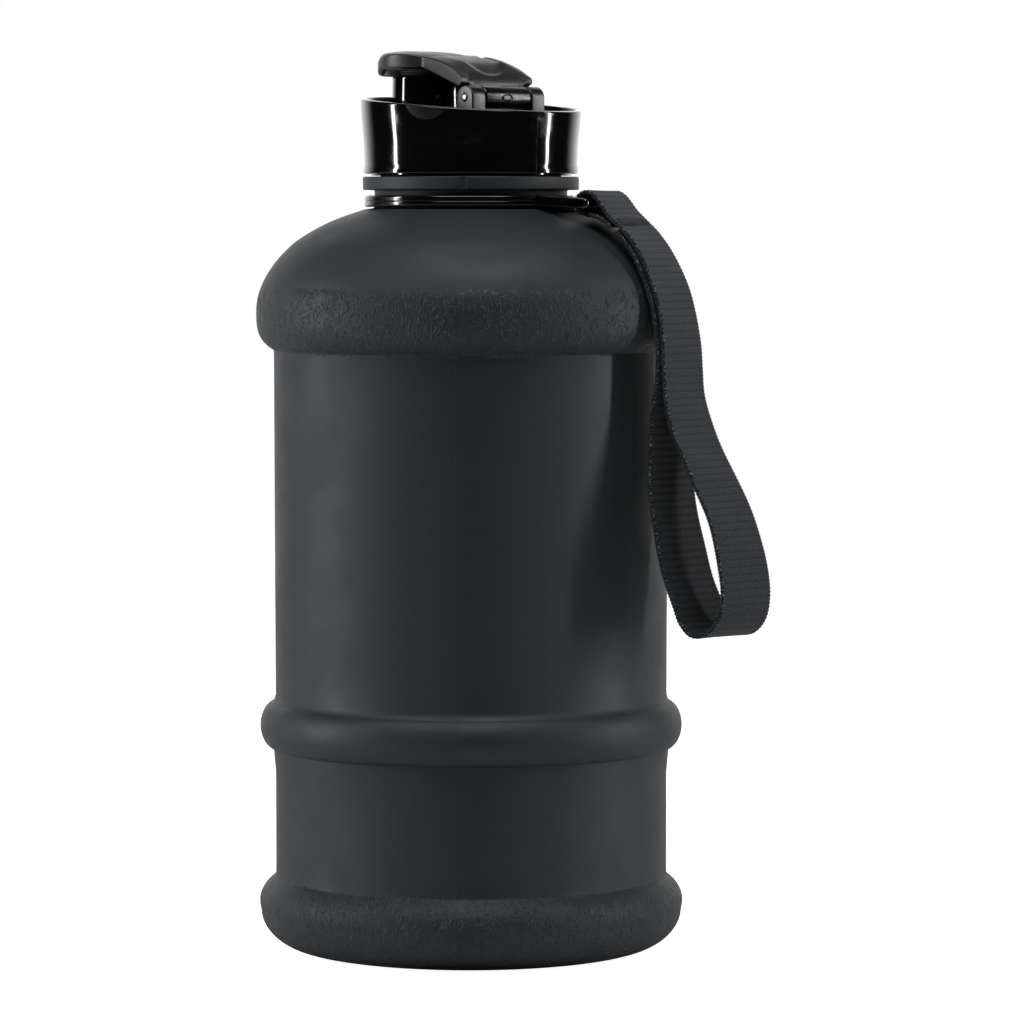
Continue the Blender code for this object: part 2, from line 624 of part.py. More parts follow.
def main():
    clear_scene()
    parts = make_collection("water_jug")
    cutters = make_collection("cutters")
    matte = make_material("matte_body", (0.012, 0.013, 0.015), 0.55)
    gloss = make_material("gloss_black", (0.008, 0.008, 0.009), 0.12)
    collar_gloss = make_material("collar_gloss", (0.010, 0.010, 0.011), 0.2)
    lid_matte = make_material("lid_matte", (0.014, 0.014, 0.016), 0.5)
    seal = make_material("seal_rubber", (0.02, 0.02, 0.022), 0.8)
    plug_rubber = make_material("plug_rubber", (0.015, 0.015, 0.016), 0.7)
    steel = make_material("pin_steel", (0.55, 0.55, 0.56), 0.3, 1.0)
    webbing = make_material("webbing", (0.02, 0.021, 0.023), 0.9)
    yarn = make_material("yarn", (0.03, 0.03, 0.033), 0.85)

    hinge = axis_empty("lid_hinge_axis", (HINGE_X, 0.0, HINGE_Z), parts)
    swivel = axis_empty("collar_axis", (0.0, 0.0, COLLAR_BOTTOM), parts)
    lug = (LUG_BAR_RADIUS * cos(LUG_ANGLE), LUG_BAR_RADIUS * sin(LUG_ANGLE), LUG_BAR_HEIGHT)
    swing = axis_empty("strap_axis", lug, parts)
    bpy.context.view_layer.update()

    make_bottle(parts, cutters, matte)
    make_cap(parts, cutters, gloss)
    make_liner(parts, seal)
    make_plug(parts, cutters, hinge, plug_rubber)
    make_pin(parts, steel)
    make_lid(parts, cutters, hinge, lid_matte)
    make_collar(parts, cutters, swivel, collar_gloss)
    make_strap(parts, swing, webbing)
    make_stitching(parts, swing, yarn)
    hide_cutters(cutters)


main()
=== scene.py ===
"""Water jug: the finished look, laid out as an add-on for the 3D view's sidebar."""

import json
from math import acos, atan2, cos, exp, pi, radians, sin, sqrt, tan

import bmesh
import bpy
from bpy.props import FloatProperty, FloatVectorProperty, IntProperty, PointerProperty
from mathutils import Matrix, Vector


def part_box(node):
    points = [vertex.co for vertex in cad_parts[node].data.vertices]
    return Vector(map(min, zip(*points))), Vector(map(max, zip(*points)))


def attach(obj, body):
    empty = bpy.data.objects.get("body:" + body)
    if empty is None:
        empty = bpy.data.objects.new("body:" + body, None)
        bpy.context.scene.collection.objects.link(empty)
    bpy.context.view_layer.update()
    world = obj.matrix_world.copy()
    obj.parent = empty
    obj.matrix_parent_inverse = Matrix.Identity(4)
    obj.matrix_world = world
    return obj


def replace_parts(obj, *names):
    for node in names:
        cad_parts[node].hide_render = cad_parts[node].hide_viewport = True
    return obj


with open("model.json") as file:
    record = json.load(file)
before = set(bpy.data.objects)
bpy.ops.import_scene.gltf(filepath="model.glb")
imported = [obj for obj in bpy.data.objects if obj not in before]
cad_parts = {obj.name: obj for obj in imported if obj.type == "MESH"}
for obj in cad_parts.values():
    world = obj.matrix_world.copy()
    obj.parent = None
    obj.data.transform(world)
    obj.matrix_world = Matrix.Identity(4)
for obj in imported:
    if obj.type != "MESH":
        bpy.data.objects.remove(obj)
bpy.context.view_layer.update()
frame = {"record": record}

bl_info = {
    "name": "Water Jug",
    "version": (1, 0, 0),
    "blender": (4, 5, 0),
    "location": "View3D > Sidebar > Water Jug",
    "description": "Builds a water jug with a flip-lid screw cap and a wrist strap",
    "category": "Add Mesh",
}

MM = 0.001
JOINTS = {joint["name"]: joint for joint in frame["record"]["behaviour"]["joints"]}
HINGE = Vector(JOINTS["lid_flip"]["pos_m"])
LUG_BAR = Vector(JOINTS["strap_swing"]["pos_m"])
LUG_ANGLE = atan2(LUG_BAR.y, LUG_BAR.x)

# The settings that the pieces share, in metres unless the name says otherwise
CURVE_STEPS = 24
NECK_BORE = 23.2 * MM
THREAD_PITCH = 5.0 * MM
SUPPORT_RING = (214.9 * MM, 218.2 * MM)
KNUCKLE_RADIUS = 3.3 * MM
CAP_PIN_BORE = 1.3 * MM
LID_PIN_BORE = 1.25 * MM
BARREL_HALF_LENGTH = 8.5 * MM
KNUCKLE_INNER_FACE = 8.8 * MM
KNUCKLE_OUTER_FACE = 13.8 * MM


# ---------------------------------------------------------------- outlines

def smooth_line(points, spacing):
    """Points on a centripetal Catmull-Rom curve through the given ones, about one spacing apart."""
    knots = [Vector(p) for p in points]
    knots = [2 * knots[0] - knots[1]] + knots + [2 * knots[-1] - knots[-2]]
    dense = []
    for p0, p1, p2, p3 in zip(knots, knots[1:], knots[2:], knots[3:]):
        t1 = (p1 - p0).length ** 0.5
        t2 = t1 + (p2 - p1).length ** 0.5
        t3 = t2 + (p3 - p2).length ** 0.5
        for i in range(CURVE_STEPS):
            t = t1 + (t2 - t1) * i / CURVE_STEPS
            a1 = p0.lerp(p1, t / t1)
            a2 = p1.lerp(p2, (t - t1) / (t2 - t1))
            a3 = p2.lerp(p3, (t - t2) / (t3 - t2))
            b1 = a1.lerp(a2, t / t2)
            b2 = a2.lerp(a3, (t - t1) / (t3 - t1))
            dense.append(b1.lerp(b2, (t - t1) / (t2 - t1)))
    dense.append(knots[-2])
    return evenly(dense, spacing)


def evenly(dense, spacing):
    """The same line with its points evenly spaced."""
    lengths = [0.0]
    for a, b in zip(dense, dense[1:]):
        lengths.append(lengths[-1] + (b - a).length)
    count = max(1, round(lengths[-1] / spacing))
    line = []
    place = 0
    for i in range(count + 1):
        target = lengths[-1] * i / count
        while place < len(dense) - 2 and lengths[place + 1] < target:
            place += 1
        step = max(lengths[place + 1] - lengths[place], 1e-9)
        line.append(dense[place].lerp(dense[place + 1], (target - lengths[place]) / step))
    return line


def rounded(corners, steps=5):
    """A line of (radius, height, corner radius) in millimetres, with each corner turned into an arc."""
    points = [Vector(c[:2]) * MM for c in corners]
    line = [points[0]]
    for i in range(1, len(points) - 1):
        before, here, after = points[i - 1:i + 2]
        into, out = (before - here).normalized(), (after - here).normalized()
        half = acos(max(-1.0, min(1.0, into.dot(out)))) / 2
        reach = min(corners[i][2] * MM / tan(half), 0.49 * (before - here).length,
                    0.49 * (after - here).length)
        if reach < 1e-6 or half > 1.55:
            line.append(here)
            continue
        radius = reach * tan(half)
        centre = here + (into + out).normalized() * radius / sin(half)
        first, last = here + into * reach - centre, here + out * reach - centre
        for k in range(steps + 1):
            line.append(centre + first.slerp(last, k / steps) * radius)
    return line + [points[-1]]


def bulge(radius, height, half, wall, steps=16):
    """Points down a half-round band that stands out of a wall, in millimetres."""
    return [Vector((wall + (radius - wall) * sin(pi * i / steps), height + half * cos(pi * i / steps))) * MM
            for i in range(steps + 1)]


# ---------------------------------------------------------------- meshes

def jug_collection():
    found = bpy.data.collections.get("water_jug")
    if found is None:
        found = bpy.data.collections.new("water_jug")
        bpy.context.scene.collection.children.link(found)
    return found


def make_piece(name, vertices, faces, material, sharp=40):
    mesh = bpy.data.meshes.new(name)
    mesh.from_pydata([tuple(v) for v in vertices], [], faces)
    shape = bmesh.new()
    shape.from_mesh(mesh)
    bmesh.ops.remove_doubles(shape, verts=shape.verts, dist=1e-7)
    bmesh.ops.recalc_face_normals(shape, faces=shape.faces)
    shape.to_mesh(mesh)
    shape.free()
    mesh.materials.append(material)
    mesh.shade_smooth()
    mesh.set_sharp_from_angle(angle=radians(sharp))
    piece = bpy.data.objects.new(name, mesh)
    jug_collection().objects.link(piece)
    return piece


def turn_angles(sides, seams=()):
    """Evenly spaced angles, with extra ones beside each seam."""
    angles = [2 * pi * i / sides for i in range(sides)]
    for seam in seams:
        for offset in (-0.9, -0.5, -0.3, -0.15, 0.0, 0.15, 0.3, 0.5, 0.9):
            angles.append((seam + radians(offset)) % (2 * pi))
    return sorted(angles)


def turned(profile, angles, relief=None, lift=None, centre=(0.0, 0.0), closed=False):
    """Vertices and faces of a profile of (radius, height) points turned about the upright axis."""
    vertices = []
    faces = []
    for r, z in profile:
        for a in angles:
            out = r + (relief(a, r, z) if relief else 0.0)
            x, y = centre[0] + out * cos(a), centre[1] + out * sin(a)
            vertices.append((x, y, z + (lift(x, z) if lift else 0.0)))
    columns = len(angles)
    rows = len(profile)
    for i in range(rows if closed else rows - 1):
        j = (i + 1) % rows
        for k in range(columns):
            n = (k + 1) % columns
            faces.append((i * columns + k, i * columns + n, j * columns + n, j * columns + k))
    return vertices, drop_pinched(vertices, faces)


def drop_pinched(vertices, faces):
    """Faces with the corners that fall on one point taken once."""
    kept = []
    for face in faces:
        corners = []
        for index in face:
            if all((Vector(vertices[index]) - Vector(vertices[c])).length > 1e-7 for c in corners):
                corners.append(index)
        if len(corners) > 2:
            kept.append(tuple(corners))
    return kept


def joined(*parts):
    """Several (vertices, faces) pairs as one."""
    vertices, faces = [], []
    for some_vertices, some_faces in parts:
        start = len(vertices)
        vertices += list(some_vertices)
        faces += [tuple(i + start for i in face) for face in some_faces]
    return vertices, faces


def lofted(sections, cap=True):
    """Vertices and faces through equal rings of points."""
    vertices = [p for section in sections for p in section]
    n = len(sections[0])
    faces = []
    for i in range(len(sections) - 1):
        for k in range(n):
            m = (k + 1) % n
            faces.append((i * n + k, i * n + m, (i + 1) * n + m, (i + 1) * n + k))
    if cap:
        faces.append(tuple(range(n - 1, -1, -1)))
        faces.append(tuple((len(sections) - 1) * n + k for k in range(n)))
    return vertices, faces


def rod(radius, low, high, centre, round_end, steps=6, sides=96, hole=0.0):
    """A round bar along Y with rounded ends, as (vertices, faces); a hole radius makes it a sleeve."""
    middle = (low + high) / 2
    half = (high - low) / 2
    profile = rounded([(hole / MM, half / MM, 0), (radius / MM, half / MM, round_end / MM),
                       (radius / MM, -half / MM, round_end / MM), (hole / MM, -half / MM, 0)], steps)
    vertices, faces = turned(profile, turn_angles(sides), closed=hole > 0)
    return [(centre.x + x, middle + z, centre.z + y) for x, y, z in vertices], faces


def slab(low, high, edge, steps=4):
    """A box with rounded edges, as (vertices, faces)."""
    shape = bmesh.new()
    bmesh.ops.create_cube(shape, size=1.0)
    low, high = Vector(low), Vector(high)
    bmesh.ops.scale(shape, verts=shape.verts, vec=high - low)
    bmesh.ops.translate(shape, verts=shape.verts, vec=(low + high) / 2)
    bmesh.ops.bevel(shape, geom=shape.edges[:], offset=edge, segments=steps, profile=0.5, affect="EDGES")
    shape.verts.index_update()
    vertices = [v.co.copy() for v in shape.verts]
    faces = [tuple(v.index for v in f.verts) for f in shape.faces]
    shape.free()
    return vertices, faces


def helix(radius, start, pitch, turns, size, sides=10, per_turn=72):
    """A thread ridge that thins out at both ends, as (vertices, faces)."""
    count = int(turns * per_turn)
    sections = []
    for i in range(count + 1):
        angle = 2 * pi * i / per_turn
        fade = min(1.0, 0.12 + 6.0 * min(i, count - i) / per_turn)
        z = start + pitch * i / per_turn
        sections.append([((radius + size * fade * cos(b)) * cos(angle),
                          (radius + size * fade * cos(b)) * sin(angle), z + size * fade * sin(b))
                         for b in (2 * pi * k / sides for k in range(sides))])
    return lofted(sections)


# ---------------------------------------------------------------- materials

def add_node(tree, kind, inputs=None, **settings):
    """One node; an input is a value, or another node's output to link."""
    node = tree.nodes.new(kind)
    for key, value in settings.items():
        setattr(node, key, value)
    for key, value in (inputs or {}).items():
        if isinstance(value, bpy.types.NodeSocket):
            tree.links.new(value, node.inputs[key])
        else:
            node.inputs[key].default_value = value
    return node


def maths(tree, operation, first, second=0.0, clamp=False):
    return add_node(tree, "ShaderNodeMath", {0: first, 1: second}, operation=operation,
                    use_clamp=clamp).outputs[0]


def ramp(tree, value, low, high, to_low=0.0, to_high=1.0):
    """A value eased between two levels."""
    inputs = {"Value": value, "From Min": low, "From Max": high, "To Min": to_low, "To Max": to_high}
    return add_node(tree, "ShaderNodeMapRange", inputs, interpolation_type="SMOOTHSTEP").outputs[0]


def noise(tree, vector, scale, detail=2.0, roughness=0.5, distortion=0.0):
    inputs = {"Vector": vector, "Scale": scale, "Detail": detail, "Roughness": roughness,
              "Distortion": distortion}
    return add_node(tree, "ShaderNodeTexNoise", inputs).outputs[0]


def stretched(tree, vector, scale):
    return add_node(tree, "ShaderNodeVectorMath", {0: vector, 1: scale}, operation="MULTIPLY").outputs[0]


def blended(tree, share, first, second):
    return add_node(tree, "ShaderNodeMix", {0: share, 6: first, 7: second}, data_type="RGBA").outputs[2]


def start_material(name, roughness, **sockets):
    """A new material, its node tree, its shader and its object coordinates."""
    material = bpy.data.materials.new(name)
    material.use_nodes = True
    tree = material.node_tree
    shader = tree.nodes["Principled BSDF"]
    shader.inputs["Roughness"].default_value = roughness
    for key, value in sockets.items():
        shader.inputs[key.replace("_", " ")].default_value = value
    place = add_node(tree, "ShaderNodeTexCoord").outputs["Object"]
    return material, tree, shader, place


def paint(tree, shader, socket, output):
    tree.links.new(output, shader.inputs[socket])


def bumps(tree, shader, layers):
    """Stacks (height, depth in metres) layers of relief on the shader."""
    normal = None
    for height, depth in layers:
        inputs = {"Height": height, "Distance": depth, "Strength": 1.0}
        if normal is not None:
            inputs["Normal"] = normal
        normal = add_node(tree, "ShaderNodeBump", inputs).outputs[0]
    paint(tree, shader, "Normal", normal)


def shade(colour, factor):
    return (*(c * factor for c in colour[:3]), 1.0)


def product(tree, first, second):
    return maths(tree, "MULTIPLY", first, second)


def tinted(tree, tone, mask, share, colour):
    """A tone turned towards a colour by a share of the mask."""
    return blended(tree, product(tree, mask, share), tone, colour)


def specks(tree, place, scale, rim, middle, threshold):
    """Round dots in those cells of a scatter whose random value is above the threshold."""
    cell = add_node(tree, "ShaderNodeTexVoronoi", {"Vector": place, "Scale": scale})
    chosen = add_node(tree, "ShaderNodeSeparateColor", {0: cell.outputs["Color"]}).outputs[0]
    dot = ramp(tree, cell.outputs["Distance"], rim, middle)
    return product(tree, dot, maths(tree, "GREATER_THAN", chosen, threshold))


def dress(tree, shader, colour, rough, layers):
    """Links the shader's colour and roughness, and stacks its relief."""
    paint(tree, shader, "Base Color", colour)
    paint(tree, shader, "Roughness", rough)
    bumps(tree, shader, layers)


def coated_plastic(look, bands):
    """Soft-touch matt black: leathery grain on the bands, with painted shade in its pits and ridges painted
    lighter as wear and painted highlight, a few light specks, faint handling marks.
    """
    material, tree, shader, place = start_material("jug_matt", look.roughness, Specular_IOR_Level=0.42)
    height = add_node(tree, "ShaderNodeSeparateXYZ", {0: place}).outputs[2]
    band = None
    for low, high in bands:
        inside = product(tree, ramp(tree, height, low - 1.0 * MM, low + 1.0 * MM),
                       ramp(tree, height, high + 1.2 * MM, high - 1.2 * MM))
        band = inside if band is None else maths(tree, "ADD", band, inside)
    worm = noise(tree, stretched(tree, place, (1.0, 1.0, 0.60)), 720.0, 1.0, 0.4, 1.6)
    ridge = ramp(tree, worm, 0.50, 0.60)
    broken = ramp(tree, noise(tree, place, 190.0, 1.0), 0.26, 0.50)
    wrinkle = product(tree, product(tree, ridge, broken), band)
    dimple = product(tree, noise(tree, place, 1900.0, 2.0), band)
    micro = noise(tree, place, 5200.0, 2.0, 0.6)
    cloud = noise(tree, place, 22.0, 3.0, 0.55)
    rubbed = ramp(tree, noise(tree, stretched(tree, place, (1.0, 1.0, 0.25)), 130.0, 4.0, 0.6), 0.60, 0.78)
    tone = blended(tree, cloud, shade(look.colour, 0.86), shade(look.colour, 1.14))
    tone = tinted(tree, tone, rubbed, 0.25, shade(look.colour, 1.5))
    # Painted shade: the grain's pits on the bands are painted darker.
    painted_pit_shade = product(tree, product(tree, ramp(tree, worm, 0.50, 0.45), broken), band)
    # The grain's ridges are painted lighter, partly as wear and partly as painted highlight.
    tone = tinted(tree, tone, wrinkle, 0.45, shade(look.colour, 1.8))
    tone = tinted(tree, tone, painted_pit_shade, 0.35, shade(look.colour, 0.5))
    speck = specks(tree, place, 95.0, 0.026, 0.012, 0.80)
    tone = tinted(tree, tone, speck, 0.75, (0.16, 0.165, 0.16, 1.0))
    rough = ramp(tree, noise(tree, place, 60.0, 4.0, 0.6), 0.3, 0.7,
                 look.roughness - 0.05, look.roughness + 0.05)
    dress(tree, shader, tone, rough, [(wrinkle, look.grain_depth), (dimple, look.grain_depth * 0.22),
                                      (micro, 0.006 * MM)])
    return material


def gloss_plastic(name, look, dulled=0.0):
    """Polished black moulding with hairline scratches and a little dust, duller round the hinge."""
    material, tree, shader, place = start_material(name, look.roughness, Specular_IOR_Level=0.55)
    swirl = noise(tree, place, 90.0, 4.0, 0.6)
    hair = noise(tree, stretched(tree, place, (1.0, 1.0, 14.0)), 260.0, 3.0, 0.6, 0.4)
    scratch = ramp(tree, maths(tree, "ABSOLUTE", maths(tree, "SUBTRACT", hair, 0.5)), 0.010, 0.0)
    scratch = product(tree, scratch, ramp(tree, swirl, 0.5, 0.65))
    rough = ramp(tree, swirl, 0.3, 0.7, look.roughness * 0.8, look.roughness * 1.5 + dulled)
    rough = maths(tree, "ADD", rough, product(tree, scratch, 0.10), clamp=True)
    rubbed = ramp(tree, from_hinge(tree, place), 6.6 * MM, 6.2 * MM)
    rough = maths(tree, "ADD", rough, product(tree, rubbed, 0.24))
    dust = specks(tree, place, 420.0, 0.05, 0.02, 0.95)
    tone = blended(tree, noise(tree, place, 35.0), shade(look.colour, 0.8), shade(look.colour, 1.2))
    tone = tinted(tree, tone, dust, 0.3, (0.2, 0.2, 0.2, 1.0))
    dress(tree, shader, tone, rough, [(scratch, 0.002 * MM), (noise(tree, place, 240.0, 1.0), 0.004 * MM),
                                      (noise(tree, place, 55.0, 1.0), 0.16 * MM)])
    return material


def from_hinge(tree, place):
    """A point's distance from the hinge pin's axis."""
    flat = stretched(tree, place, (1.0, 0.0, 1.0))
    return add_node(tree, "ShaderNodeVectorMath", {0: flat, 1: (HINGE.x, 0.0, HINGE.z)},
                    operation="DISTANCE").outputs["Value"]


def satin_plastic(name, look):
    """Spark-eroded satin moulding with a fine even grain and lightly polished high spots, and painted shade
    on the hinge barrel, which is also glossier.
    """
    material, tree, shader, place = start_material(name, look.roughness, Specular_IOR_Level=0.5)
    grain = noise(tree, place, 2600.0, 3.0, 0.6)
    patch = noise(tree, place, 75.0, 3.0, 0.6)
    # Painted shade: close round the pin's axis the hinge barrel is painted darker; it is also made glossier.
    hinge = ramp(tree, from_hinge(tree, place), 3.75 * MM, 3.55 * MM)
    tone = blended(tree, patch, shade(look.colour, 0.82), shade(look.colour, 1.22))
    tone = blended(tree, hinge, tone, shade(look.colour, 0.35))
    rough = ramp(tree, patch, 0.35, 0.7, look.roughness + 0.05, look.roughness - 0.07)
    rough = maths(tree, "SUBTRACT", rough, product(tree, hinge, 0.16))
    dress(tree, shader, tone, rough, [(grain, 0.016 * MM), (noise(tree, place, 320.0, 2.0), 0.010 * MM)])
    return material


def soft_rubber(name, colour, roughness=0.7):
    """Moulded rubber with a dusty bloom."""
    material, tree, shader, place = start_material(name, roughness, Specular_IOR_Level=0.4)
    bloom = noise(tree, place, 150.0, 4.0, 0.65)
    dress(tree, shader, blended(tree, bloom, shade(colour, 0.75), shade(colour, 1.35)),
          ramp(tree, bloom, 0.3, 0.7, roughness - 0.1, roughness + 0.1),
          [(noise(tree, place, 1800.0, 3.0), 0.015 * MM)])
    return material


def drawn_steel(name):
    """Drawn steel wire with fine lines."""
    material, tree, shader, place = start_material(name, 0.35, Metallic=1.0)
    lines = noise(tree, stretched(tree, place, (1.0, 0.05, 1.0)), 5200.0, 3.0, 0.7)
    dress(tree, shader, blended(tree, lines, (0.16, 0.16, 0.17, 1.0), (0.34, 0.34, 0.35, 1.0)),
          ramp(tree, lines, 0.3, 0.7, 0.2, 0.4), [(lines, 0.006 * MM)])
    return material


def woven(name, look):
    """Ribbed webbing: yarns along the strap's UV length, painted shade in the grooves between ribs and on the
    inner face, a soft sheen.
    """
    material, tree, shader, _ = start_material(name, 0.85, Specular_IOR_Level=0.3, Sheen_Weight=0.14,
                                               Sheen_Roughness=0.45)
    shader.inputs["Sheen Tint"].default_value = (0.8, 0.85, 0.9, 1.0)
    uv = add_node(tree, "ShaderNodeUVMap", uv_map="along_across").outputs[0]
    split = add_node(tree, "ShaderNodeSeparateXYZ", {0: uv})
    along, across = split.outputs[0], split.outputs[1]
    phase = product(tree, along, 2 * pi / look.rib_pitch)
    waver = product(tree, noise(tree, uv, 260.0), 1.6)
    phase = maths(tree, "ADD", phase, waver)
    painted_groove_shade = ramp(tree, maths(tree, "COSINE", phase), -0.60, -0.99)
    pick = ramp(tree, maths(tree, "COSINE", product(tree, phase, 2.0)), 0.75, 1.0)
    thread = noise(tree, stretched(tree, uv, (2.6, 0.9, 1.0)), 1500.0, 2.0, 0.6)
    fuzz = noise(tree, stretched(tree, uv, (1.0, 1.3, 1.0)), 1300.0, 3.0, 0.8)
    pills = noise(tree, uv, 300.0, 4.0, 0.6)
    tone = blended(tree, ramp(tree, fuzz, 0.42, 0.60), shade(look.colour, 0.10), shade(look.colour, 2.4))
    tone = tinted(tree, tone, ramp(tree, thread, 0.4, 0.65), 0.45, shade(look.colour, 2.0))
    tone = tinted(tree, tone, pick, 0.30, shade(look.colour, 0.5))
    # Painted shade: the grooves between the ribs are painted darker.
    tone = tinted(tree, tone, painted_groove_shade, 0.40, shade(look.colour, 0.25))
    # Painted shade: the strap's inner face is painted darker, most towards the grooves.
    inner = maths(tree, "LESS_THAN", along, FACE_SPLIT * look.rib_pitch)
    painted_inner_shade = product(tree, ramp(tree, maths(tree, "COSINE", phase), 0.55, -0.85), inner)
    tone = tinted(tree, tone, painted_inner_shade, 0.72, shade(look.colour, 0.12))
    tone = tinted(tree, tone, ramp(tree, pills, 0.55, 0.75), 0.25, shade(look.colour, 1.9))
    edge = ramp(tree, maths(tree, "ABSOLUTE", across), look.width * 0.465, look.width * 0.485)
    loops = ramp(tree, noise(tree, uv, 2300.0, 1.0, 0.5, 0.6), 0.55, 0.62)
    loop_tone = blended(tree, loops, shade(look.colour, 0.35), (0.13, 0.18, 0.20, 1.0))
    tone = blended(tree, edge, tone, loop_tone)
    rough = ramp(tree, fuzz, 0.3, 0.7, 0.72, 0.95)
    edging = product(tree, loops, edge)
    dress(tree, shader, tone, rough, [(thread, 0.09 * MM), (fuzz, 0.12 * MM), (edging, 0.30 * MM)])
    return material


def spun_yarn(name, colour):
    """Twisted sewing thread."""
    material, tree, shader, place = start_material(name, 0.75, Specular_IOR_Level=0.35, Sheen_Weight=0.2)
    twist = add_node(tree, "ShaderNodeTexWave", {"Vector": place, "Scale": 700.0, "Distortion": 1.5},
                     bands_direction="DIAGONAL").outputs[1]
    dress(tree, shader, blended(tree, twist, shade(colour, 0.6), shade(colour, 1.5)),
          ramp(tree, noise(tree, place, 900.0), 0.3, 0.7, 0.65, 0.85), [(twist, 0.04 * MM)])
    return material


def studio_floor(colour):
    material, tree, shader, place = start_material("studio_floor", 0.8, Specular_IOR_Level=0.2)
    tone = blended(tree, noise(tree, place, 3.0, 3.0), shade(colour, 0.99), shade(colour, 1.0))
    paint(tree, shader, "Base Color", tone)
    shader.inputs["Emission Color"].default_value = (1.0, 1.0, 1.0, 1.0)
    seen = add_node(tree, "ShaderNodeLightPath").outputs["Is Camera Ray"]
    paint(tree, shader, "Emission Strength", ramp(tree, seen, 0.0, 1.0, 0.0, 0.96))
    bumps(tree, shader, [(noise(tree, place, 400.0), 0.01 * MM)])
    return material


# ---------------------------------------------------------------- settings

def colour_setting(name, description, default):
    return FloatVectorProperty(name=name, description=description, subtype="COLOR", size=3, min=0, max=1,
                               default=default)


def roughness_setting(surface, default):
    return FloatProperty(name="Roughness", description="Roughness of the " + surface, subtype="FACTOR",
                         default=default, min=0, max=1)


def length_setting(name, description, default, least, most):
    """A length; the default and both limits are in millimetres."""
    return FloatProperty(name=name, description=description, default=default * MM, min=least * MM,
                         max=most * MM, unit="LENGTH", precision=6)


def angle_setting(name, description, degrees):
    return FloatProperty(name=name, description=description, default=radians(degrees), unit="ROTATION")


def seam_height_setting(default):
    return length_setting("Seam height", "Height of the mould's parting line", default, 0, 0.5)


def seam_angle_setting(degrees):
    return angle_setting("Seam angle", "Where the mould's parting line runs", degrees)


class JugBottleSettings(bpy.types.PropertyGroup):
    colour: colour_setting("Colour", "Colour of the matt coating", (0.0090, 0.0126, 0.0156))
    roughness: roughness_setting("matt coating", 0.60)
    grain_depth: length_setting("Grain depth", "Depth of the leathery grain", 0.55, 0, 0.8)
    seam_height: seam_height_setting(0.05)
    seam_angle: seam_angle_setting(-46.6)
    sides: IntProperty(name="Sides", description="Steps round the bottle", default=288, min=48, max=720)


class JugCapSettings(bpy.types.PropertyGroup):
    colour: colour_setting("Colour", "Colour of the gloss mouldings", (0.0016, 0.0016, 0.0019))
    roughness: roughness_setting("gloss mouldings", 0.07)
    seam_height: seam_height_setting(0.03)
    seam_angle: seam_angle_setting(-6.1)
    rim_slope: FloatProperty(name="Rim slope", description="Rise of the rim towards the spout",
                             default=0.0806, min=0, max=0.3)
    sides: IntProperty(name="Sides", description="Steps round the cap", default=224, min=48, max=720)


class JugLidSettings(bpy.types.PropertyGroup):
    colour: colour_setting("Colour", "Colour of the satin lid", (0.0085, 0.0088, 0.0095))
    roughness: roughness_setting("satin lid", 0.42)
    scoop_depth: length_setting("Scoop depth", "Depth of the thumb scoop on the lid", 1.0, 0, 2)


class JugStrapSettings(bpy.types.PropertyGroup):
    colour: colour_setting("Colour", "Colour of the webbing", (0.0112, 0.0124, 0.0150))
    width: length_setting("Width", "Width of the webbing", 20, 10, 30)
    thickness: length_setting("Thickness", "Thickness of the webbing", 1.25, 0.5, 2)
    rib_pitch: length_setting("Rib pitch", "Distance from rib to rib", 2.07, 0.8, 4)
    rib_height: length_setting("Rib height", "How far the ribs stand out", 0.07, 0, 0.4)


class JugStageSettings(bpy.types.PropertyGroup):
    floor_colour: colour_setting("Floor", "Colour of the floor", (0.75, 0.75, 0.75))
    side_power: FloatProperty(name="Side lights", description="Power of the two side softboxes", default=7.5,
                              min=0, unit="POWER")
    top_power: FloatProperty(name="Top light", description="Power of the top softbox", default=10.0,
                             min=0, unit="POWER")
    front_level: FloatProperty(name="Front level", description="Brightness of the surround in front",
                               default=0.015, min=0)
    back_level: FloatProperty(name="Back level", description="Brightness of the surround behind",
                              default=1.6, min=0)
    distance: FloatProperty(name="Camera distance", description="Level distance from the jug's axis",
                            default=1.387, min=0.3, unit="LENGTH")
    eye_height: FloatProperty(name="Camera height", description="Height above the floor", default=0.2085,
                              min=0, unit="LENGTH")
    azimuth: angle_setting("Camera azimuth", "Angle round the jug", 47)
    tilt: angle_setting("Camera tilt", "How far the camera looks down", 3.504)
    sideways: FloatProperty(name="Camera offset", description="How far the camera stands to its right",
                            default=11.6 * MM, unit="LENGTH", precision=5)
    lens: FloatProperty(name="Lens", description="Focal length in millimetres", default=172.27, min=20)


SETTINGS = {
    "jug_bottle": JugBottleSettings, "jug_cap": JugCapSettings, "jug_lid": JugLidSettings,
    "jug_strap": JugStrapSettings, "jug_stage": JugStageSettings,
}


# ---------------------------------------------------------------- stage

class JugMakeStage(bpy.types.Operator):
    """Floor, soft lights, white surround and the camera"""
    bl_idname = "jug.make_stage"
    bl_label = "Stage"

    def execute(self, context):
        look = context.scene.jug_stage
        floor = make_floor(look)
        for softbox in softboxes(look):
            make_softbox(look, *softbox)
        make_surround(context, look)
        make_camera(context, look)
        context.scene.view_settings.view_transform = "Standard"
        return {"FINISHED"}


def make_floor(look):
    floor_radius = 1.2
    vertices, faces = turned([Vector((0.0, 0.0)), Vector((floor_radius, 0.0))], turn_angles(96))
    floor = make_piece("floor", vertices, faces, studio_floor(look.floor_colour))
    floor.location.z = -0.3 * MM
    return floor


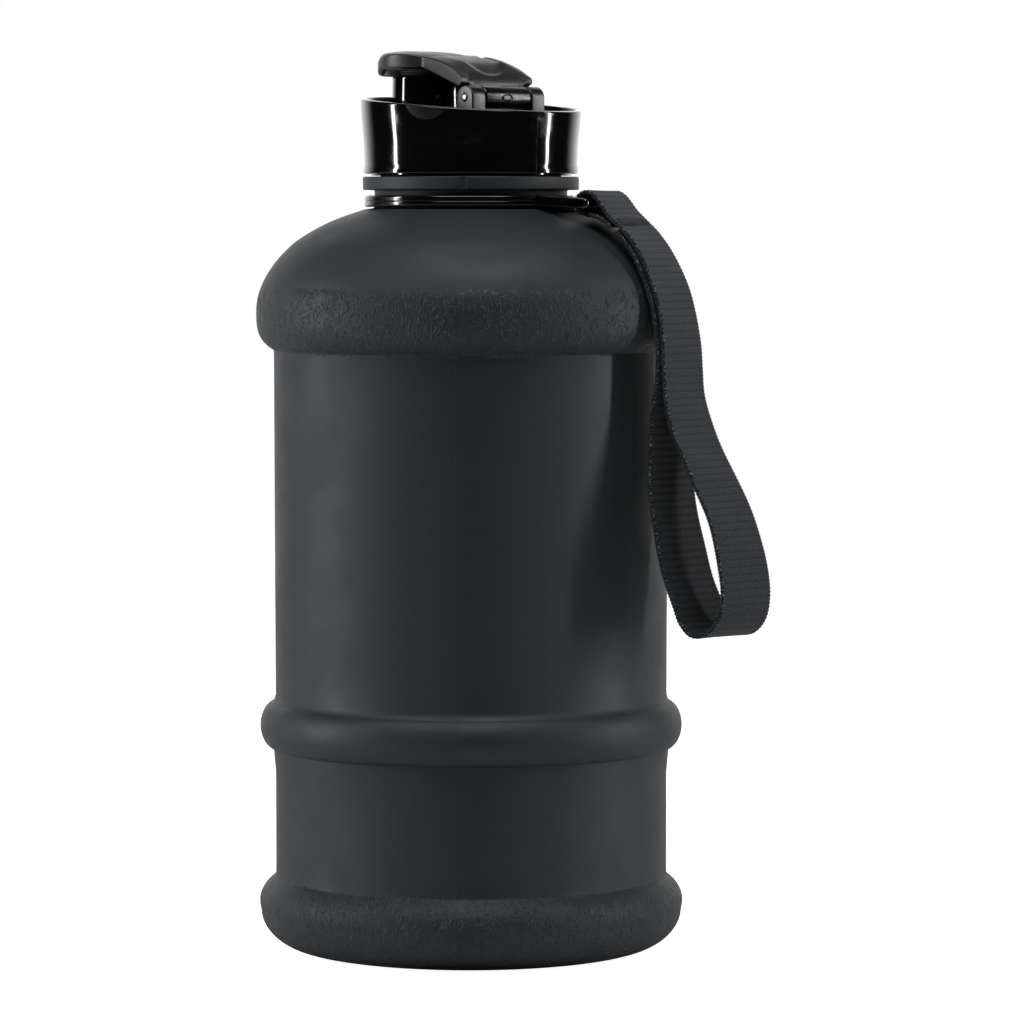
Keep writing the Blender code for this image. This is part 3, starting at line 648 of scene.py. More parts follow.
def softboxes(look):
    """Name, angle from the front, distance, height, (width, height) and power of each softbox."""
    return [
        ("left_softbox", radians(-87), 0.95, 0.24, (0.065, 0.9), look.side_power),
        ("right_softbox", radians(89), 0.95, 0.24, (0.050, 0.9), look.side_power * 0.8),
        ("top_softbox", 0.0, 0.40, 1.15, (1.1, 0.6), look.top_power),
    ]


def make_softbox(look, name, angle, reach, high, size, power):
    data = bpy.data.lights.new(name, "AREA")
    data.shape = "RECTANGLE"
    data.size, data.size_y = size
    data.energy = power
    light = bpy.data.objects.new(name, data)
    bpy.context.scene.collection.objects.link(light)
    angle += look.azimuth - pi / 2
    light.location = (reach * cos(angle), reach * sin(angle), high)
    aim = Vector((0.0, 0.0, 0.15)) - light.location
    light.rotation_euler = aim.to_track_quat("-Z", "Y").to_euler()


def make_surround(context, look):
    """A surround that is white behind the jug, and dark in front of it and beside it."""
    world = bpy.data.worlds.new("studio")
    world.use_nodes = True
    tree = world.node_tree
    background = tree.nodes["Background"]
    direction = add_node(tree, "ShaderNodeTexCoord").outputs["Generated"]
    behind = (-sin(look.azimuth), cos(look.azimuth), 0.0)
    facing = add_node(tree, "ShaderNodeVectorMath", {0: direction, 1: behind},
                      operation="DOT_PRODUCT").outputs[1]
    back = ramp(tree, facing, 0.55, 0.90)
    level = blended(tree, back, (*3 * (look.front_level,), 1.0), (*3 * (look.back_level,), 1.0))
    seen = add_node(tree, "ShaderNodeLightPath").outputs["Is Camera Ray"]
    colour = blended(tree, seen, level, (1.0, 1.0, 1.0, 1.0))
    tree.links.new(colour, background.inputs["Color"])
    context.scene.world = world


def make_camera(context, look):
    data = bpy.data.cameras.new("camera")
    data.lens = look.lens
    data.clip_start, data.clip_end = 0.05, 20.0
    camera = bpy.data.objects.new("camera", data)
    context.scene.collection.objects.link(camera)
    towards = Vector((sin(look.azimuth), -cos(look.azimuth), 0.0))
    right = Vector((cos(look.azimuth), sin(look.azimuth), 0.0))
    camera.location = towards * look.distance + right * look.sideways + Vector((0.0, 0.0, look.eye_height))
    camera.rotation_euler = (pi / 2 - look.tilt, 0.0, look.azimuth)
    context.scene.camera = camera


# ---------------------------------------------------------------- bottle

class JugMakeBottle(bpy.types.Operator):
    """The blow-moulded bottle with its shoulder, bands, foot and threaded neck"""
    bl_idname = "jug.make_bottle"
    bl_label = "Bottle"

    def execute(self, context):
        look = context.scene.jug_bottle
        seams = (look.seam_angle, look.seam_angle + pi)
        profile = bottle_inside() + bottle_outside()
        body = turned(profile, turn_angles(look.sides, seams), relief=parting_line(look, seams, 25.3 * MM))
        thread = helix(25.5 * MM, 221.3 * MM, THREAD_PITCH, 1.4, 1.25 * MM)
        vertices, faces = joined(body, thread)
        material = coated_plastic(look, [(169.6 * MM, 186.6 * MM), (1.0 * MM, 20.6 * MM)])
        bottle = make_piece("jug_bottle", vertices, faces, material, sharp=60)
        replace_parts(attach(bottle, "jug"), "bottle")
        return {"FINISHED"}


def bottle_outside():
    """From the lip down the outer side to the middle of the base."""
    neck = rounded([(23.9, 230.7, 0), (25.4, 230.7, 0.5), (25.4, 218.4, 0.5), (30.5, 218.4, 0.45),
                    (30.5, 214.7, 0.45), (27.2, 214.7, 0.5), (27.2, 209.6, 0.8), (30.0, 209.25, 0)])
    dome = [(30.0, 209.25), (32.3, 208.5), (37.2, 206.8), (41.1, 205.1), (44.4, 203.4), (47.2, 201.7),
            (49.7, 200.0), (51.5, 198.4), (53.3, 196.6), (54.9, 194.8), (56.3, 192.9), (57.8, 190.6),
            (59.2, 187.7), (60.2, 184.8), (60.65, 181.8), (60.7, 179.0), (60.5, 176.2), (59.9, 174.0),
            (58.9, 172.2), (57.4, 170.7)]
    shoulder = [p * MM for p in smooth_line(dome, 0.8)]
    tuck = rounded([(57.4, 170.7, 0), (55.75, 169.55, 0.25), (55.7, 160.0, 0)])
    barrel = [Vector((55.7 - 0.2 * i / 8, 160.0 - 88.0 * i / 8)) * MM for i in range(1, 9)]
    waist = bulge(59.85, 63.4, 6.6, 55.5, 22)
    lower = [Vector((55.5, z)) * MM for z in (50.0, 40.0, 30.0, 24.0)]
    base = rounded([(55.5, 24.0, 0), (55.55, 20.6, 0.5), (57.0, 19.4, 0)])
    ring = [(57.0, 19.4), (58.4, 18.0), (59.4, 16.4), (60.0, 14.7), (60.1, 12.9), (59.7, 10.6)]
    band = [p * MM for p in smooth_line(ring, 0.8)]
    return neck + shoulder[1:] + tuck[1:] + barrel + waist[1:-1] + lower + base[1:] + band[1:] + foot()


def foot():
    """The rounding under the base ring, the flat foot and the hollow base."""
    power = 2 / 1.85
    rounding = []
    for i in range(1, 19):
        angle = pi / 2 * i / 18
        radius = 47.0 + (59.7 - 47.0) * max(cos(angle), 0.0) ** power
        rounding.append(Vector((radius, 10.6 * (1 - sin(angle) ** power))) * MM)
    hollow = rounded([(47.0, 0.0, 0), (43.5, 0.0, 1.0), (41.0, 1.5, 1.0), (39.5, 3.0, 1.0), (30.0, 4.6, 8.0),
                      (17.0, 6.2, 2.0), (15.5, 5.4, 1.0), (8.0, 5.6, 2.0), (0.0, 5.7, 0)], 6)
    return rounding + hollow[1:]


def bottle_inside():
    """From the middle of the floor up the inner side to the lip."""
    return rounded([(0.0, 8.5, 0), (30.0, 6.6, 8), (41.5, 3.2, 3), (47.5, 2.3, 4), (58.4, 7.0, 8),
                    (58.4, 15.8, 3), (54.0, 20.2, 1), (54.0, 57.6, 1), (58.2, 60.2, 2), (58.2, 66.8, 2),
                    (54.0, 69.4, 1), (54.1, 169.9, 1), (59.1, 173.4, 4), (58.9, 185.0, 10), (50.5, 196.8, 14),
                    (36.0, 205.0, 10), (NECK_BORE / MM, 208.6, 3), (NECK_BORE / MM, 230.7, 0.5),
                    (23.9, 230.7, 0)], 4)


def parting_line(look, seams, least_radius):
    """A thin raised line where the mould's halves met, outside only, with a notch in the neck's ring."""
    def relief(angle, radius, height):
        if radius < least_radius or height < 0.2 * MM:
            return 0.0
        total = 0.0
        for seam in seams:
            off = abs((angle - seam + pi) % (2 * pi) - pi) * radius
            total += look.seam_height * exp(-(off / (0.22 * MM)) ** 2)
            if SUPPORT_RING[0] < height < SUPPORT_RING[1] and off < 0.5 * MM:
                total -= 0.25 * MM
        return total
    return relief


# ---------------------------------------------------------------- cap

class JugMakeCap(bpy.types.Operator):
    """The gloss screw cap with its slanted rim, spout and hinge knuckles"""
    bl_idname = "jug.make_cap"
    bl_label = "Screw cap"

    def execute(self, context):
        look = context.scene.jug_cap
        plastic = gloss_plastic("cap_gloss", look)
        seams = (look.seam_angle, look.seam_angle + pi)
        shell = turned(cap_profile(), turn_angles(look.sides, seams),
                       relief=parting_line(look, seams, 29.9 * MM), lift=rim_lift(look))
        thread = helix(27.6 * MM, 223.8 * MM, THREAD_PITCH, 1.2, 1.2 * MM)
        spout = turned(spout_profile(), turn_angles(160), centre=(SPOUT.x, SPOUT.y))
        vertices, faces = joined(shell, thread, spout, *knuckles())
        cap = make_piece("jug_screw_cap", vertices, faces, plastic, sharp=50)
        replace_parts(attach(cap, "cap"), "screw_cap")
        return {"FINISHED"}


def middle_of(node):
    low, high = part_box(node)
    return (Vector(low) + Vector(high)) / 2


SPOUT = middle_of("spout_plug")
# Heights in millimetres, as the profiles take them
SPOUT_TOP = 246.9
DECK_TOP = 234.5
RIM_MIDDLE = 238.9


def cap_profile():
    """From the middle of the deck out over the rim, down the outer side and up the inside.

    The deck runs on under the spout, so the spout's bore is closed at the deck.
    """
    return rounded([(0.0, DECK_TOP, 0), (14.0, DECK_TOP, 0), (24.0, DECK_TOP, 0), (27.6, DECK_TOP, 0),
                    (29.3, DECK_TOP, 1.2), (29.6, RIM_MIDDLE, 0.55), (31.3, RIM_MIDDLE, 0.7),
                    (31.12, 235.4, 12), (30.4, 227.0, 20), (30.2, 221.8, 3.0), (30.45, 220.4, 0.8),
                    (30.5, 219.2, 0.3), (29.3, 219.2, 0.3), (29.3, 220.6, 0.3), (28.4, 220.6, 0.3),
                    (28.4, 218.75, 0.2), (27.3, 218.75, 0.2), (27.3, 220.4, 0.2), (28.0, 221.2, 0.2),
                    (28.0, 232.5, 0.8), (0.0, 232.5, 0)], 7)


def rim_lift(look):
    """Tilts the rim: the wall is raised or lowered ever more towards the top, and the deck stays level."""
    base = 226.0 * MM

    def lift(x, z):
        height_share = max(0.0, (z - base) / (RIM_MIDDLE * MM - base))
        if z <= DECK_TOP * MM + 1e-6 and abs(x) < 29.2 * MM:
            return 0.0
        return -look.rim_slope * x * min(height_share, 1.0) ** 1.5
    return lift


def spout_profile():
    """The drinking spout, with a fillet at its foot and a rounded lip."""
    return rounded([(12.9, DECK_TOP - 0.3, 0), (11.3, DECK_TOP + 0.1, 1.2), (10.65, DECK_TOP + 2.2, 2.0),
                    (10.5, SPOUT_TOP, 0.6), (7.4, SPOUT_TOP, 0.5), (7.4, 232.4, 0.4), (8.2, 232.0, 0)], 7)


def knuckles():
    """The two outer hinge knuckles: round on top, with straight flanks down to the deck."""
    inner, outer = KNUCKLE_INNER_FACE, KNUCKLE_OUTER_FACE
    return [knuckle(inner, outer), knuckle(-outer, -inner)]


def knuckle(low, high):
    """One knuckle between two places along the pin, with a bore and rounded edges."""
    drop = HINGE.z - (DECK_TOP - 0.5) * MM
    edge = 0.4 * MM

    def ring(y, inset=None):
        points = []
        for k in range(120):
            a = 2 * pi * k / 120
            if inset is None:
                reach = CAP_PIN_BORE
            elif sin(a) >= 0:
                reach = KNUCKLE_RADIUS - inset
            else:
                reach = min((KNUCKLE_RADIUS - inset) / max(abs(cos(a)), 1e-6), drop / -sin(a))
            points.append((HINGE.x + reach * cos(a), y, HINGE.z + reach * sin(a)))
        return points

    rounds = [(edge * (1 - sin(pi / 12 * k)), edge * (1 - cos(pi / 12 * k))) for k in range(7)]
    sections = [ring((low + high) / 2), ring(low)]
    sections += [ring(low + along, inset) for inset, along in rounds]
    sections += [ring(high - along, inset) for inset, along in reversed(rounds)]
    sections += [ring(high), ring((low + high) / 2)]
    return lofted(sections, cap=False)


class JugMakeLiner(bpy.types.Operator):
    """The flat gasket between the neck and the cap's deck"""
    bl_idname = "jug.make_liner"
    bl_label = "Cap liner"

    def execute(self, context):
        low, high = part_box("cap_liner")
        inner, outer = 21.5, high[0] / MM
        low_z, high_z = low[2] / MM, high[2] / MM
        profile = rounded([(24.0, high_z, 0), (outer, high_z, 0.3), (outer, low_z, 0.3), (25.6, low_z, 0.1),
                           (25.4, low_z + 0.15, 0.1), (23.2, low_z + 0.15, 0.1), (23.0, low_z, 0.1),
                           (inner, low_z, 0.3), (inner, high_z, 0.3), (23.9, high_z, 0)])
        vertices, faces = turned(profile, turn_angles(160), closed=True)
        material = soft_rubber("liner_rubber", (0.28, 0.28, 0.27), 0.6)
        liner = make_piece("jug_cap_liner", vertices, faces, material)
        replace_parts(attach(liner, "liner"), "cap_liner")
        return {"FINISHED"}


# ---------------------------------------------------------------- lid

class JugMakeLid(bpy.types.Operator):
    """The satin flip lid with its thumb scoop, finger lip and hinge barrel"""
    bl_idname = "jug.make_lid"
    bl_label = "Flip lid"

    def execute(self, context):
        look = context.scene.jug_lid
        vertices, faces = joined(lid_plate(look), *lid_barrel(), gate_boss())
        lid = make_piece("jug_flip_lid", vertices, faces, satin_plastic("lid_satin", look), sharp=33)
        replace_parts(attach(lid, "lid"), "flip_lid")
        return {"FINISHED"}


LID_RADIUS = 14.6 * MM
# The middle of the top's edge at the hinge end: distance along, half of the width there, and height
LID_END = Vector((10.9, 13.5, 246.1)) * MM
# The top seen from the side, as (distance along, height) in millimetres
LID_BACK = [(-34.0, 253.0), (-12.0, 252.9), (-8.0, 252.3), (0.0, 250.8), (6.0, 248.9), (10.9, 246.1)]
LID_LINE = smooth_line([Vector(point) * MM for point in LID_BACK], 0.5 * MM)
# The under side seen from the side, in the same way
LID_BELOW = [(-60.0, 249.2), (-8.3, 249.1), (-4.6, 248.1), (4.0, 245.2), (LID_END.x / MM, 242.9)]
# Where the disc gives way to a straight flare, and where that ends, as (distance along, half width)
LID_WAIST = ((-8.2, 11.2), (10.9, 13.5))
LID_EDGE = 0.45 * MM
LIP_DEPTH = 2.1 * MM
KNUCKLE_NOTCH = 4.3 * MM
KNUCKLE_NOTCH_START = 8.6 * MM


def lid_half_width(x):
    """Half of the lid's width at a distance along it: a disc, then a straight flare to the hinge end."""
    (x0, w0), (x1, w1) = LID_WAIST
    if x <= x0 * MM:
        return sqrt(max(LID_RADIUS ** 2 - (x - SPOUT.x) ** 2, 0.0))
    if x <= x1 * MM:
        return (w0 + (w1 - w0) * ((x / MM - x0) / (x1 - x0))) * MM
    return w1 * MM


def lid_top(x):
    """Height of the top's edge: level over the disc, then falling ever more steeply to the hinge end."""
    for (x0, z0), (x1, z1) in zip(LID_LINE, LID_LINE[1:]):
        if x <= x1:
            break
    return z0 + (z1 - z0) * min(max((x - x0) / (x1 - x0), 0.0), 1.0)


def lid_under(x, y):
    """The under side: a finger lip hangs from the tip, and the hinge end is notched round the knuckles."""
    for (x0, z0), (x1, z1) in zip(LID_BELOW, LID_BELOW[1:]):
        if x <= x1 * MM:
            break
    height = (z0 + (z1 - z0) * min((x / MM - x0) / (x1 - x0), 1.0)) * MM
    if abs(y) > KNUCKLE_NOTCH_START and HINGE.x - x < KNUCKLE_NOTCH:
        height = max(height, HINGE.z + sqrt(KNUCKLE_NOTCH ** 2 - (HINGE.x - x) ** 2))
    out = sqrt((x - SPOUT.x) ** 2 + y ** 2)
    turned_away = abs(atan2(y, SPOUT.x - x))
    return height - LIP_DEPTH * ease((out - 11.7 * MM) / (1.0 * MM)) * ease((1.25 - turned_away) / 0.45)


def ease(share):
    """A share between 0 and 1 with a soft start and a soft end."""
    share = min(max(share, 0.0), 1.0)
    return share * share * (3 - 2 * share)


def edge_distance(x, y):
    """How far a point of the plan lies inside the lid's outline."""
    if x < SPOUT.x:
        return LID_RADIUS - sqrt((x - SPOUT.x) ** 2 + y ** 2)
    return min(lid_half_width(x) - abs(y), LID_END.x - x)


def rounding(distance, radius):
    """How far an edge's round takes the surface down at a distance from the outline."""
    if distance >= radius:
        return 0.0
    return radius - sqrt(max(radius ** 2 - (radius - max(distance, 0.0)) ** 2, 0.0))


def crown(x, inside):
    """How far the top swells above its edges, most half way down the slope."""
    rise = 0.8 * MM * ease((x + 9.0 * MM) / (9.0 * MM))
    fall = 1.4 * MM * ease((x - 4.0 * MM) / (7.0 * MM))
    swell = 1.2 * MM + rise - fall
    return swell * (1.0 - (1.0 - min(max(inside, 0.0) / (10.0 * MM), 1.0)) ** 2)


def scoop(look, x, y):
    """The thumb scoop: it deepens from the tip, and ends in a tongue at the hinge end."""
    wide = (8.4 + 6.5 * ease((-3.0 * MM - x) / (6.0 * MM))) * MM
    forward = max(0.0, (x + 1.0 * MM) / (11.6 * MM))
    reach = sqrt(forward ** 2 + (y / wide) ** 2)
    wall = 1.0 / (1.0 + exp((reach - 0.93) * 26.0))
    shore = ease(edge_distance(x, y) / (3.0 * MM))
    return look.scoop_depth * wall * shore * ease((x + 24.0 * MM) / (18.0 * MM))


def lid_plate(look):
    """The lid's plate: a grid of the top, a grid of the under side and the wall between them."""
    rows, columns = 110, 60
    start = SPOUT.x - LID_RADIUS
    xs = []
    for i in range(rows + 1):
        share = i / rows
        eased = share - 0.11 * sin(2 * pi * share)
        xs.append(start + 0.02 * MM + (LID_END.x - start - 0.02 * MM) * eased)
    top, under = [], []
    for x in xs:
        half = lid_half_width(x)
        for k in range(columns + 1):
            y = -half * cos(pi * k / columns)
            inside = edge_distance(x, y)
            tip = ease((-16.0 * MM - x) / (12.0 * MM))
            drop = rounding(inside, LID_EDGE + 2.2 * MM * tip)
            roll = LID_EDGE + 1.9 * MM * ease((12.0 * MM - abs(y)) / (2.5 * MM))
            drop = max(drop, rounding(LID_END.x - x, roll))
            top.append((x, y, lid_top(x) + crown(x, inside) - drop - scoop(look, x, y)))
            under.append((x, y, lid_under(x, y) + rounding(inside, LID_EDGE + 0.9 * MM * tip)))
    n = columns + 1
    vertices = top + under
    offset = len(top)
    faces = []
    for i in range(rows):
        for k in range(columns):
            a = i * n + k
            faces.append((a, a + n, a + n + 1, a + 1))
            faces.append((a + offset, a + 1 + offset, a + n + 1 + offset, a + n + offset))
    border = list(range(n)) + [i * n + n - 1 for i in range(1, rows + 1)]
    border += [rows * n + k for k in range(n - 2, -1, -1)] + [i * n for i in range(rows - 1, 0, -1)]
    for a, b in zip(border, border[1:] + border[:1]):
        faces.append((a, b, b + offset, a + offset))
    return vertices, faces


def lid_barrel():
    """The middle hinge barrel and the web that joins it to the plate."""
    half = BARREL_HALF_LENGTH
    barrel = rod(KNUCKLE_RADIUS, -half, half, HINGE, 0.4 * MM, hole=LID_PIN_BORE)
    web = slab((LID_END.x - 3.4 * MM, -half, HINGE.z - 0.5 * MM),
               (LID_END.x - 0.05 * MM, half, LID_END.z - 1.2 * MM), 0.35 * MM)
    return barrel, web


def gate_boss():
    """The small dished oval left by the mould's gate on the barrel."""
    half_length, half_width, off_middle = 2.0 * MM, 0.95 * MM, 0.6 * MM
    sections = []
    for height, size in ((-0.3, 1.0), (0.30, 1.0), (0.42, 0.90), (0.30, 0.80), (-0.05, 0.62), (-0.10, 0.0)):
        ring = []
        for k in range(24):
            a = 2 * pi * k / 24
            y, z = half_length * size * cos(a), half_width * size * sin(a)
            out = sqrt(max(KNUCKLE_RADIUS ** 2 - z ** 2, 0.0)) + height * MM
            ring.append((HINGE.x + out, y - off_middle, HINGE.z + z))
        sections.append(ring)
    return lofted(sections)


class JugMakePlug(bpy.types.Operator):
    """The rubber plug under the lid"""
    bl_idname = "jug.make_plug"
    bl_label = "Spout plug"

    def execute(self, context):
        low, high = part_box("spout_plug")
        top, tip = high[2] / MM, low[2] / MM
        profile = rounded([(0.0, top, 0), (8.2, top, 0.2), (8.2, top - 0.6, 0.2), (7.9, top - 0.75, 0.1),
                           (8.2, top - 1.4, 0.3), (6.9, top - 1.4, 0.3), (6.85, top - 2.2, 0.2),
                           (6.6, top - 2.6, 0.2), (6.75, top - 3.2, 0.3), (6.1, tip + 0.2, 0.5),
                           (4.6, tip, 0.3), (4.2, tip + 1.6, 0.5), (0.0, tip + 1.6, 0)])
        vertices, faces = turned(profile, turn_angles(128), centre=(SPOUT.x, SPOUT.y))
        rubber = soft_rubber("plug_rubber", (0.012, 0.012, 0.012))
        plug = make_piece("jug_spout_plug", vertices, faces, rubber)
        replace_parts(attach(plug, "lid"), "spout_plug")
        return {"FINISHED"}


class JugMakePin(bpy.types.Operator):
    """The steel hinge pin"""
    bl_idname = "jug.make_pin"
    bl_label = "Hinge pin"

    def execute(self, context):
        low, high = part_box("hinge_pin")
        vertices, faces = rod(1.0 * MM, low[1], high[1], HINGE, 0.35 * MM, steps=8, sides=64)
        pin = make_piece("jug_hinge_pin", vertices, faces, drawn_steel("pin_steel"))
        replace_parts(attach(pin, "cap"), "hinge_pin")
        return {"FINISHED"}


# ---------------------------------------------------------------- collar

class JugMakeCollar(bpy.types.Operator):
    """The loose collar with the lug that holds the strap"""
    bl_idname = "jug.make_collar"
    bl_label = "Collar"

    def execute(self, context):
        look = context.scene.jug_cap
        low, high = 209.9, 213.1
        profile = rounded([(28.9, high, 0), (30.2, high, 0.7), (30.2, low + 1.75, 0.25),
                           (29.95, low + 1.6, 0.15), (30.2, low + 1.45, 0.25), (30.2, low, 0.7),
                           (27.6, low, 0.7), (27.6, high, 0.7), (28.8, high, 0)])
        ring = turned(profile, turn_angles(200), closed=True)
        vertices, faces = joined(ring, *lug(low, high))
        collar = make_piece("jug_collar", vertices, faces, gloss_plastic("collar_gloss", look, 0.12))
        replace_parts(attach(collar, "collar"), "collar_ring")
        return {"FINISHED"}


def lug(low, high):
    """Two arms, an inner bridge and a rounded outer bar, tilted down a little from the ring."""
    middle = (low + high) / 2 * MM
    half = (high - low) / 2 * MM
    root = 29.3 * MM
    bar = LUG_BAR.xy.length
    tilt = atan2(middle - LUG_BAR.z, bar - root)
    place = (Matrix.Rotation(LUG_ANGLE, 4, "Z") @ Matrix.Translation((root, 0, middle))
             @ Matrix.Rotation(tilt, 4, "Y") @ Matrix.Translation((-root, 0, 0)))
    parts = []
    for side in (-1, 1):
        inner, outer = sorted((side * 10.8 * MM, side * 12.8 * MM))
        parts.append(slab((26.9 * MM, inner, -half), (bar + 1.0 * MM, outer, half), 0.55 * MM))
    parts.append(slab((28.6 * MM, -11.5 * MM, -half + 0.1 * MM),
                      (33.6 * MM, 11.5 * MM, half - 0.1 * MM), 0.5 * MM))
    sections = []
    for i in range(41):
        y = -12.8 * MM + 25.6 * MM * i / 40
        inset = rounding(12.8 * MM - abs(y), 1.6 * MM) * 0.9
        across, upright = 1.8 * MM - inset, half - inset * 0.6
        sections.append([(bar + across * superellipse(cos(a)), y, upright * superellipse(sin(a)))
                         for a in (2 * pi * k / 32 for k in range(32))])
    parts.append(lofted(sections))
    return [([place @ Vector(v) for v in vertices], faces) for vertices, faces in parts]


def superellipse(value):
    """A sine or cosine drawn out, which squares a round section's corners."""
    return (1 if value >= 0 else -1) * abs(value) ** 0.6


# ---------------------------------------------------------------- strap

# The strap's middle line: distance from the jug's axis and height, in metres
STRAP_ROUTE = [
    (0.0490, 0.2045), (0.0466, 0.2062), (0.0442, 0.20725), (0.0417, 0.2077),
    (0.0393, 0.2086), (0.0384, 0.2108), (0.0393, 0.2130), (0.0415, 0.2139), (0.0439, 0.2128),
    (0.0476, 0.2084), (0.0509, 0.2053), (0.0540, 0.2024), (0.0580, 0.1973), (0.0624, 0.1884),
    (0.0648, 0.1806), (0.0661, 0.1726), (0.0665, 0.1650), (0.0672, 0.1570), (0.0703, 0.1467),
    (0.0763, 0.1348), (0.0818, 0.1232), (0.0849, 0.1120), (0.0860, 0.1025), (0.0846, 0.0962),
    (0.0810, 0.0924), (0.0768, 0.0921), (0.0736, 0.0952), (0.0714, 0.1000), (0.0684, 0.1073),
    (0.0656, 0.1180), (0.0636, 0.1280), (0.0627, 0.1370), (0.0628, 0.1460), (0.0634, 0.1540),
    (0.0642, 0.1615), (0.0645, 0.1665), (0.0643, 0.1723), (0.0630, 0.1802), (0.0607, 0.1877),
    (0.0564, 0.1965), (0.0526, 0.2013), (0.0507, 0.2032),
]
STRAP_TWIST = radians(18)
STRAP_TWIST_TOP = 0.205
STRAP_TWIST_BOTTOM = 0.095
# The UV map moves the outer face on and the inner face back by this many ribs
FACE_SHIFT = 100
# The inner face lies wholly before this place in the map, and the outer face after it
FACE_SPLIT = 68


class JugMakeStrap(bpy.types.Operator):
    """The webbing wrist strap, folded over the lug and sewn to itself"""
    bl_idname = "jug.make_strap"
    bl_label = "Wrist strap"

    def execute(self, context):
        look = context.scene.jug_strap
        line = smooth_line(STRAP_ROUTE, look.rib_pitch / 8)
        vertices, faces, along_across = webbing(look, line)
        strap = make_piece("jug_wrist_strap", vertices, faces, woven("webbing", look), sharp=80)
        write_uv(strap, along_across)
        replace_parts(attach(strap, "strap"), "wrist_strap")
        return {"FINISHED"}


def strap_frame(height):
    """The strap's direction across its width at a height: it twists a little on the way down."""
    share = (STRAP_TWIST_TOP - height) / (STRAP_TWIST_TOP - STRAP_TWIST_BOTTOM)
    twist = STRAP_TWIST * min(max(share, 0.0), 1.0)
    return Vector((-sin(twist), -cos(twist), 0.0))


def strap_cross(steps=18):
    """The webbing's cross-section as (across, side of the strap) round its outline."""
    section = []
    for side, order in ((1, range(steps + 1)), (-1, range(steps, -1, -1))):
        for k in order:
            across = -cos(pi * (0.05 + 0.90 * k / steps)) / cos(pi * 0.05)
            section.append((across, side))
    return section


def webbing(look, line):
    """Ribbed strip with looped edges, and where each vertex lies along and across it."""
    turn = Matrix.Rotation(LUG_ANGLE, 3, "Z")
    section = strap_cross()
    rows, along_across = [], []
    travelled = 0.0
    for i, here in enumerate(line):
        before, after = line[max(i - 1, 0)], line[min(i + 1, len(line) - 1)]
        if i:
            travelled += (here - line[i - 1]).length
        forward = (after - before).normalized()
        outward = Vector((-forward.y, 0.0, forward.x))
        across_way = strap_frame(here.y)
        phase = 2 * pi * travelled / look.rib_pitch
        rib = 1.0 - 2.0 * (0.5 - 0.5 * cos(phase)) ** 4
        edge_loop = 0.5 + 0.5 * cos(2 * phase + 0.6)
        end = min(travelled, 0.4 * MM) / (0.4 * MM)
        row = []
        for across, side in section:
            full = max(0.0, 1.0 - abs(across) ** 24) ** 0.5
            edge = ease((abs(across) - 0.90) / 0.06)
            thick = look.thickness / 2 + look.rib_height * (rib - 1.0) * (1.0 - edge)
            thick = (thick + 0.20 * MM * edge * edge_loop) * (0.30 + 0.70 * full)
            wide = look.width / 2 * across * (1.0 - 0.016 * edge * (1.0 - edge_loop))
            ripple = 0.08 * MM * sin(travelled * 310.0 + across * 2.0)
            place = Vector((here.x, 0.0, here.y)) + outward * (side * thick * (0.6 + 0.4 * end) + ripple)
            row.append(turn @ (place + across_way * wide))
            along_across.append((travelled + side * FACE_SHIFT * look.rib_pitch, across * look.width / 2))
        rows.append(row)
    vertices, faces = lofted(rows)
    return vertices, faces, along_across


def write_uv(piece, along_across):
    """Stores each vertex's place along and across the strap as a UV map."""
    layer = piece.data.uv_layers.new(name="along_across")
    for loop in piece.data.loops:
        layer.data[loop.index].uv = along_across[loop.vertex_index]


class JugMakeStitching(bpy.types.Operator):
    """The zigzag tack that holds the strap's ends"""
    bl_idname = "jug.make_stitching"
    bl_label = "Strap stitching"

    def execute(self, context):
        points = tack_points(context.scene.jug_strap)
        curve = bpy.data.curves.new("jug_strap_stitching", "CURVE")
        curve.dimensions = "3D"
        curve.bevel_depth = 0.22 * MM
        curve.bevel_resolution = 4
        curve.use_fill_caps = True
        spline = curve.splines.new("POLY")
        spline.points.add(len(points) - 1)
        for point, place in zip(spline.points, points):
            point.co = (*place, 1.0)
        curve.materials.append(spun_yarn("yarn", (0.016, 0.017, 0.019)))
        stitching = bpy.data.objects.new("jug_strap_stitching", curve)
        jug_collection().objects.link(stitching)
        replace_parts(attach(stitching, "strap"), "strap_stitching")
        return {"FINISHED"}


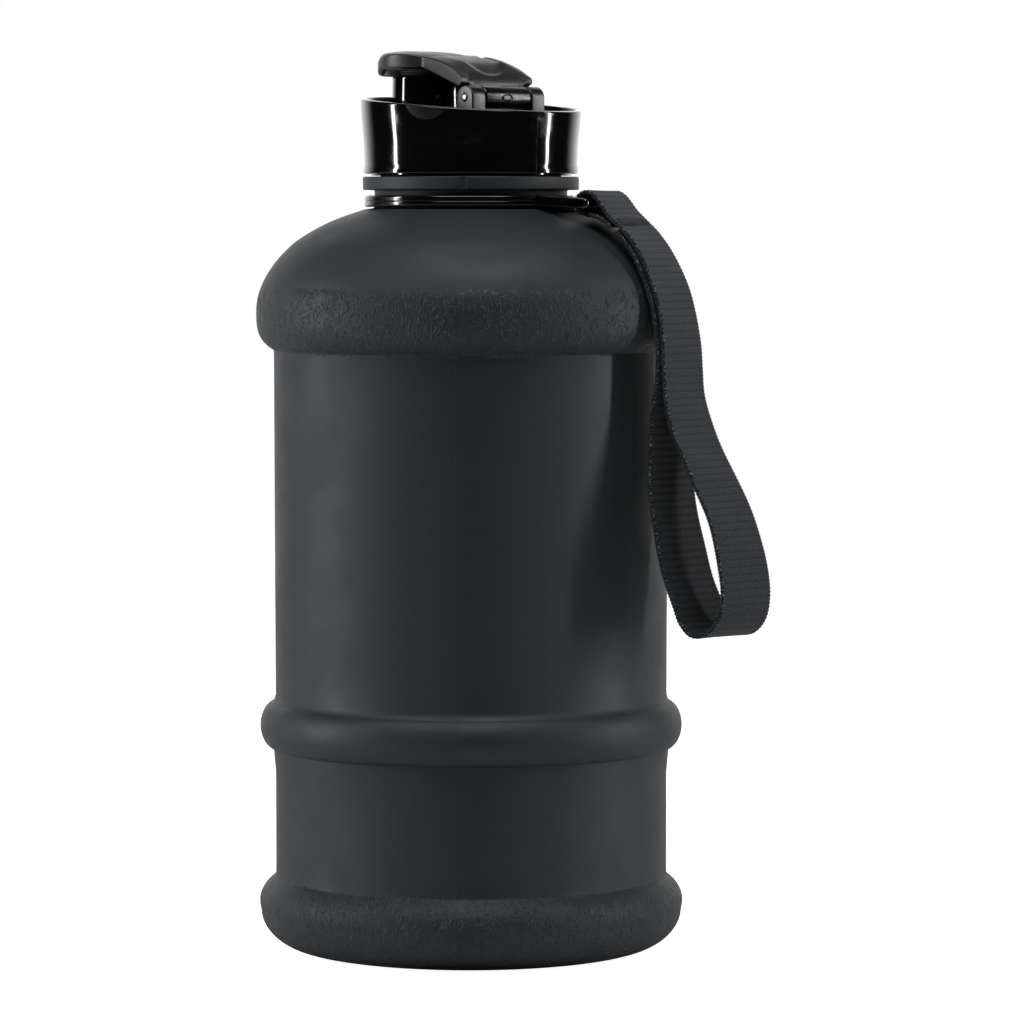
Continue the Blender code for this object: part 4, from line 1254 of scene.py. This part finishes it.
def tack_points(look):
    """A zigzag across the outer ply that dips into the webbing at each turn."""
    start = Vector((50.9, 0.0, 205.3)) * MM
    slope = atan2(-2.95, 3.2)
    along = Vector((cos(slope), 0.0, sin(slope)))
    outward = Vector((-along.z, 0.0, along.x))
    turn = Matrix.Rotation(LUG_ANGLE, 3, "Z")
    points = []
    stitches, steps = 20, 8
    tack_width = 16.5 * MM
    half_length = 1.7 * MM
    for i in range(stitches):
        for k in range(steps):
            share = (i + k / steps) / stitches
            swing = 1 if i % 2 else -1
            reach = half_length * swing * (2 * k / steps - 1)
            lift = look.thickness / 2 + (0.24 * abs(sin(pi * k / steps)) - 0.06) * MM
            across = Vector((0, tack_width * (share - 0.5), 0))
            points.append(turn @ (start + along * reach + outward * lift + across))
    return points


# ---------------------------------------------------------------- sidebar

OPERATORS = (JugMakeStage, JugMakeBottle, JugMakeCap, JugMakeLiner, JugMakeLid, JugMakePlug, JugMakePin,
             JugMakeCollar, JugMakeStrap, JugMakeStitching)


class JugPanel(bpy.types.Panel):
    """The jug's pieces and their settings"""
    bl_idname = "JUG_PT_panel"
    bl_label = "Water Jug"
    bl_space_type = "VIEW_3D"
    bl_region_type = "UI"
    bl_category = "Water Jug"

    def draw(self, context):
        for operator in OPERATORS:
            self.layout.operator(operator.bl_idname)
        for name, group in SETTINGS.items():
            box = self.layout.box()
            box.label(text=name.replace("_", " ").capitalize())
            for field in group.__annotations__:
                box.prop(getattr(context.scene, name), field)


def register():
    for group in SETTINGS.values():
        bpy.utils.register_class(group)
    for name, group in SETTINGS.items():
        setattr(bpy.types.Scene, name, PointerProperty(type=group))
    for operator in OPERATORS:
        bpy.utils.register_class(operator)
    bpy.utils.register_class(JugPanel)


def unregister():
    bpy.utils.unregister_class(JugPanel)
    for operator in reversed(OPERATORS):
        bpy.utils.unregister_class(operator)
    for name in SETTINGS:
        delattr(bpy.types.Scene, name)
    for group in SETTINGS.values():
        bpy.utils.unregister_class(group)


def main():
    register()
    for operator in OPERATORS:
        family, action = operator.bl_idname.split(".")
        getattr(getattr(bpy.ops, family), action)()


if __name__ == "__main__":
    main()
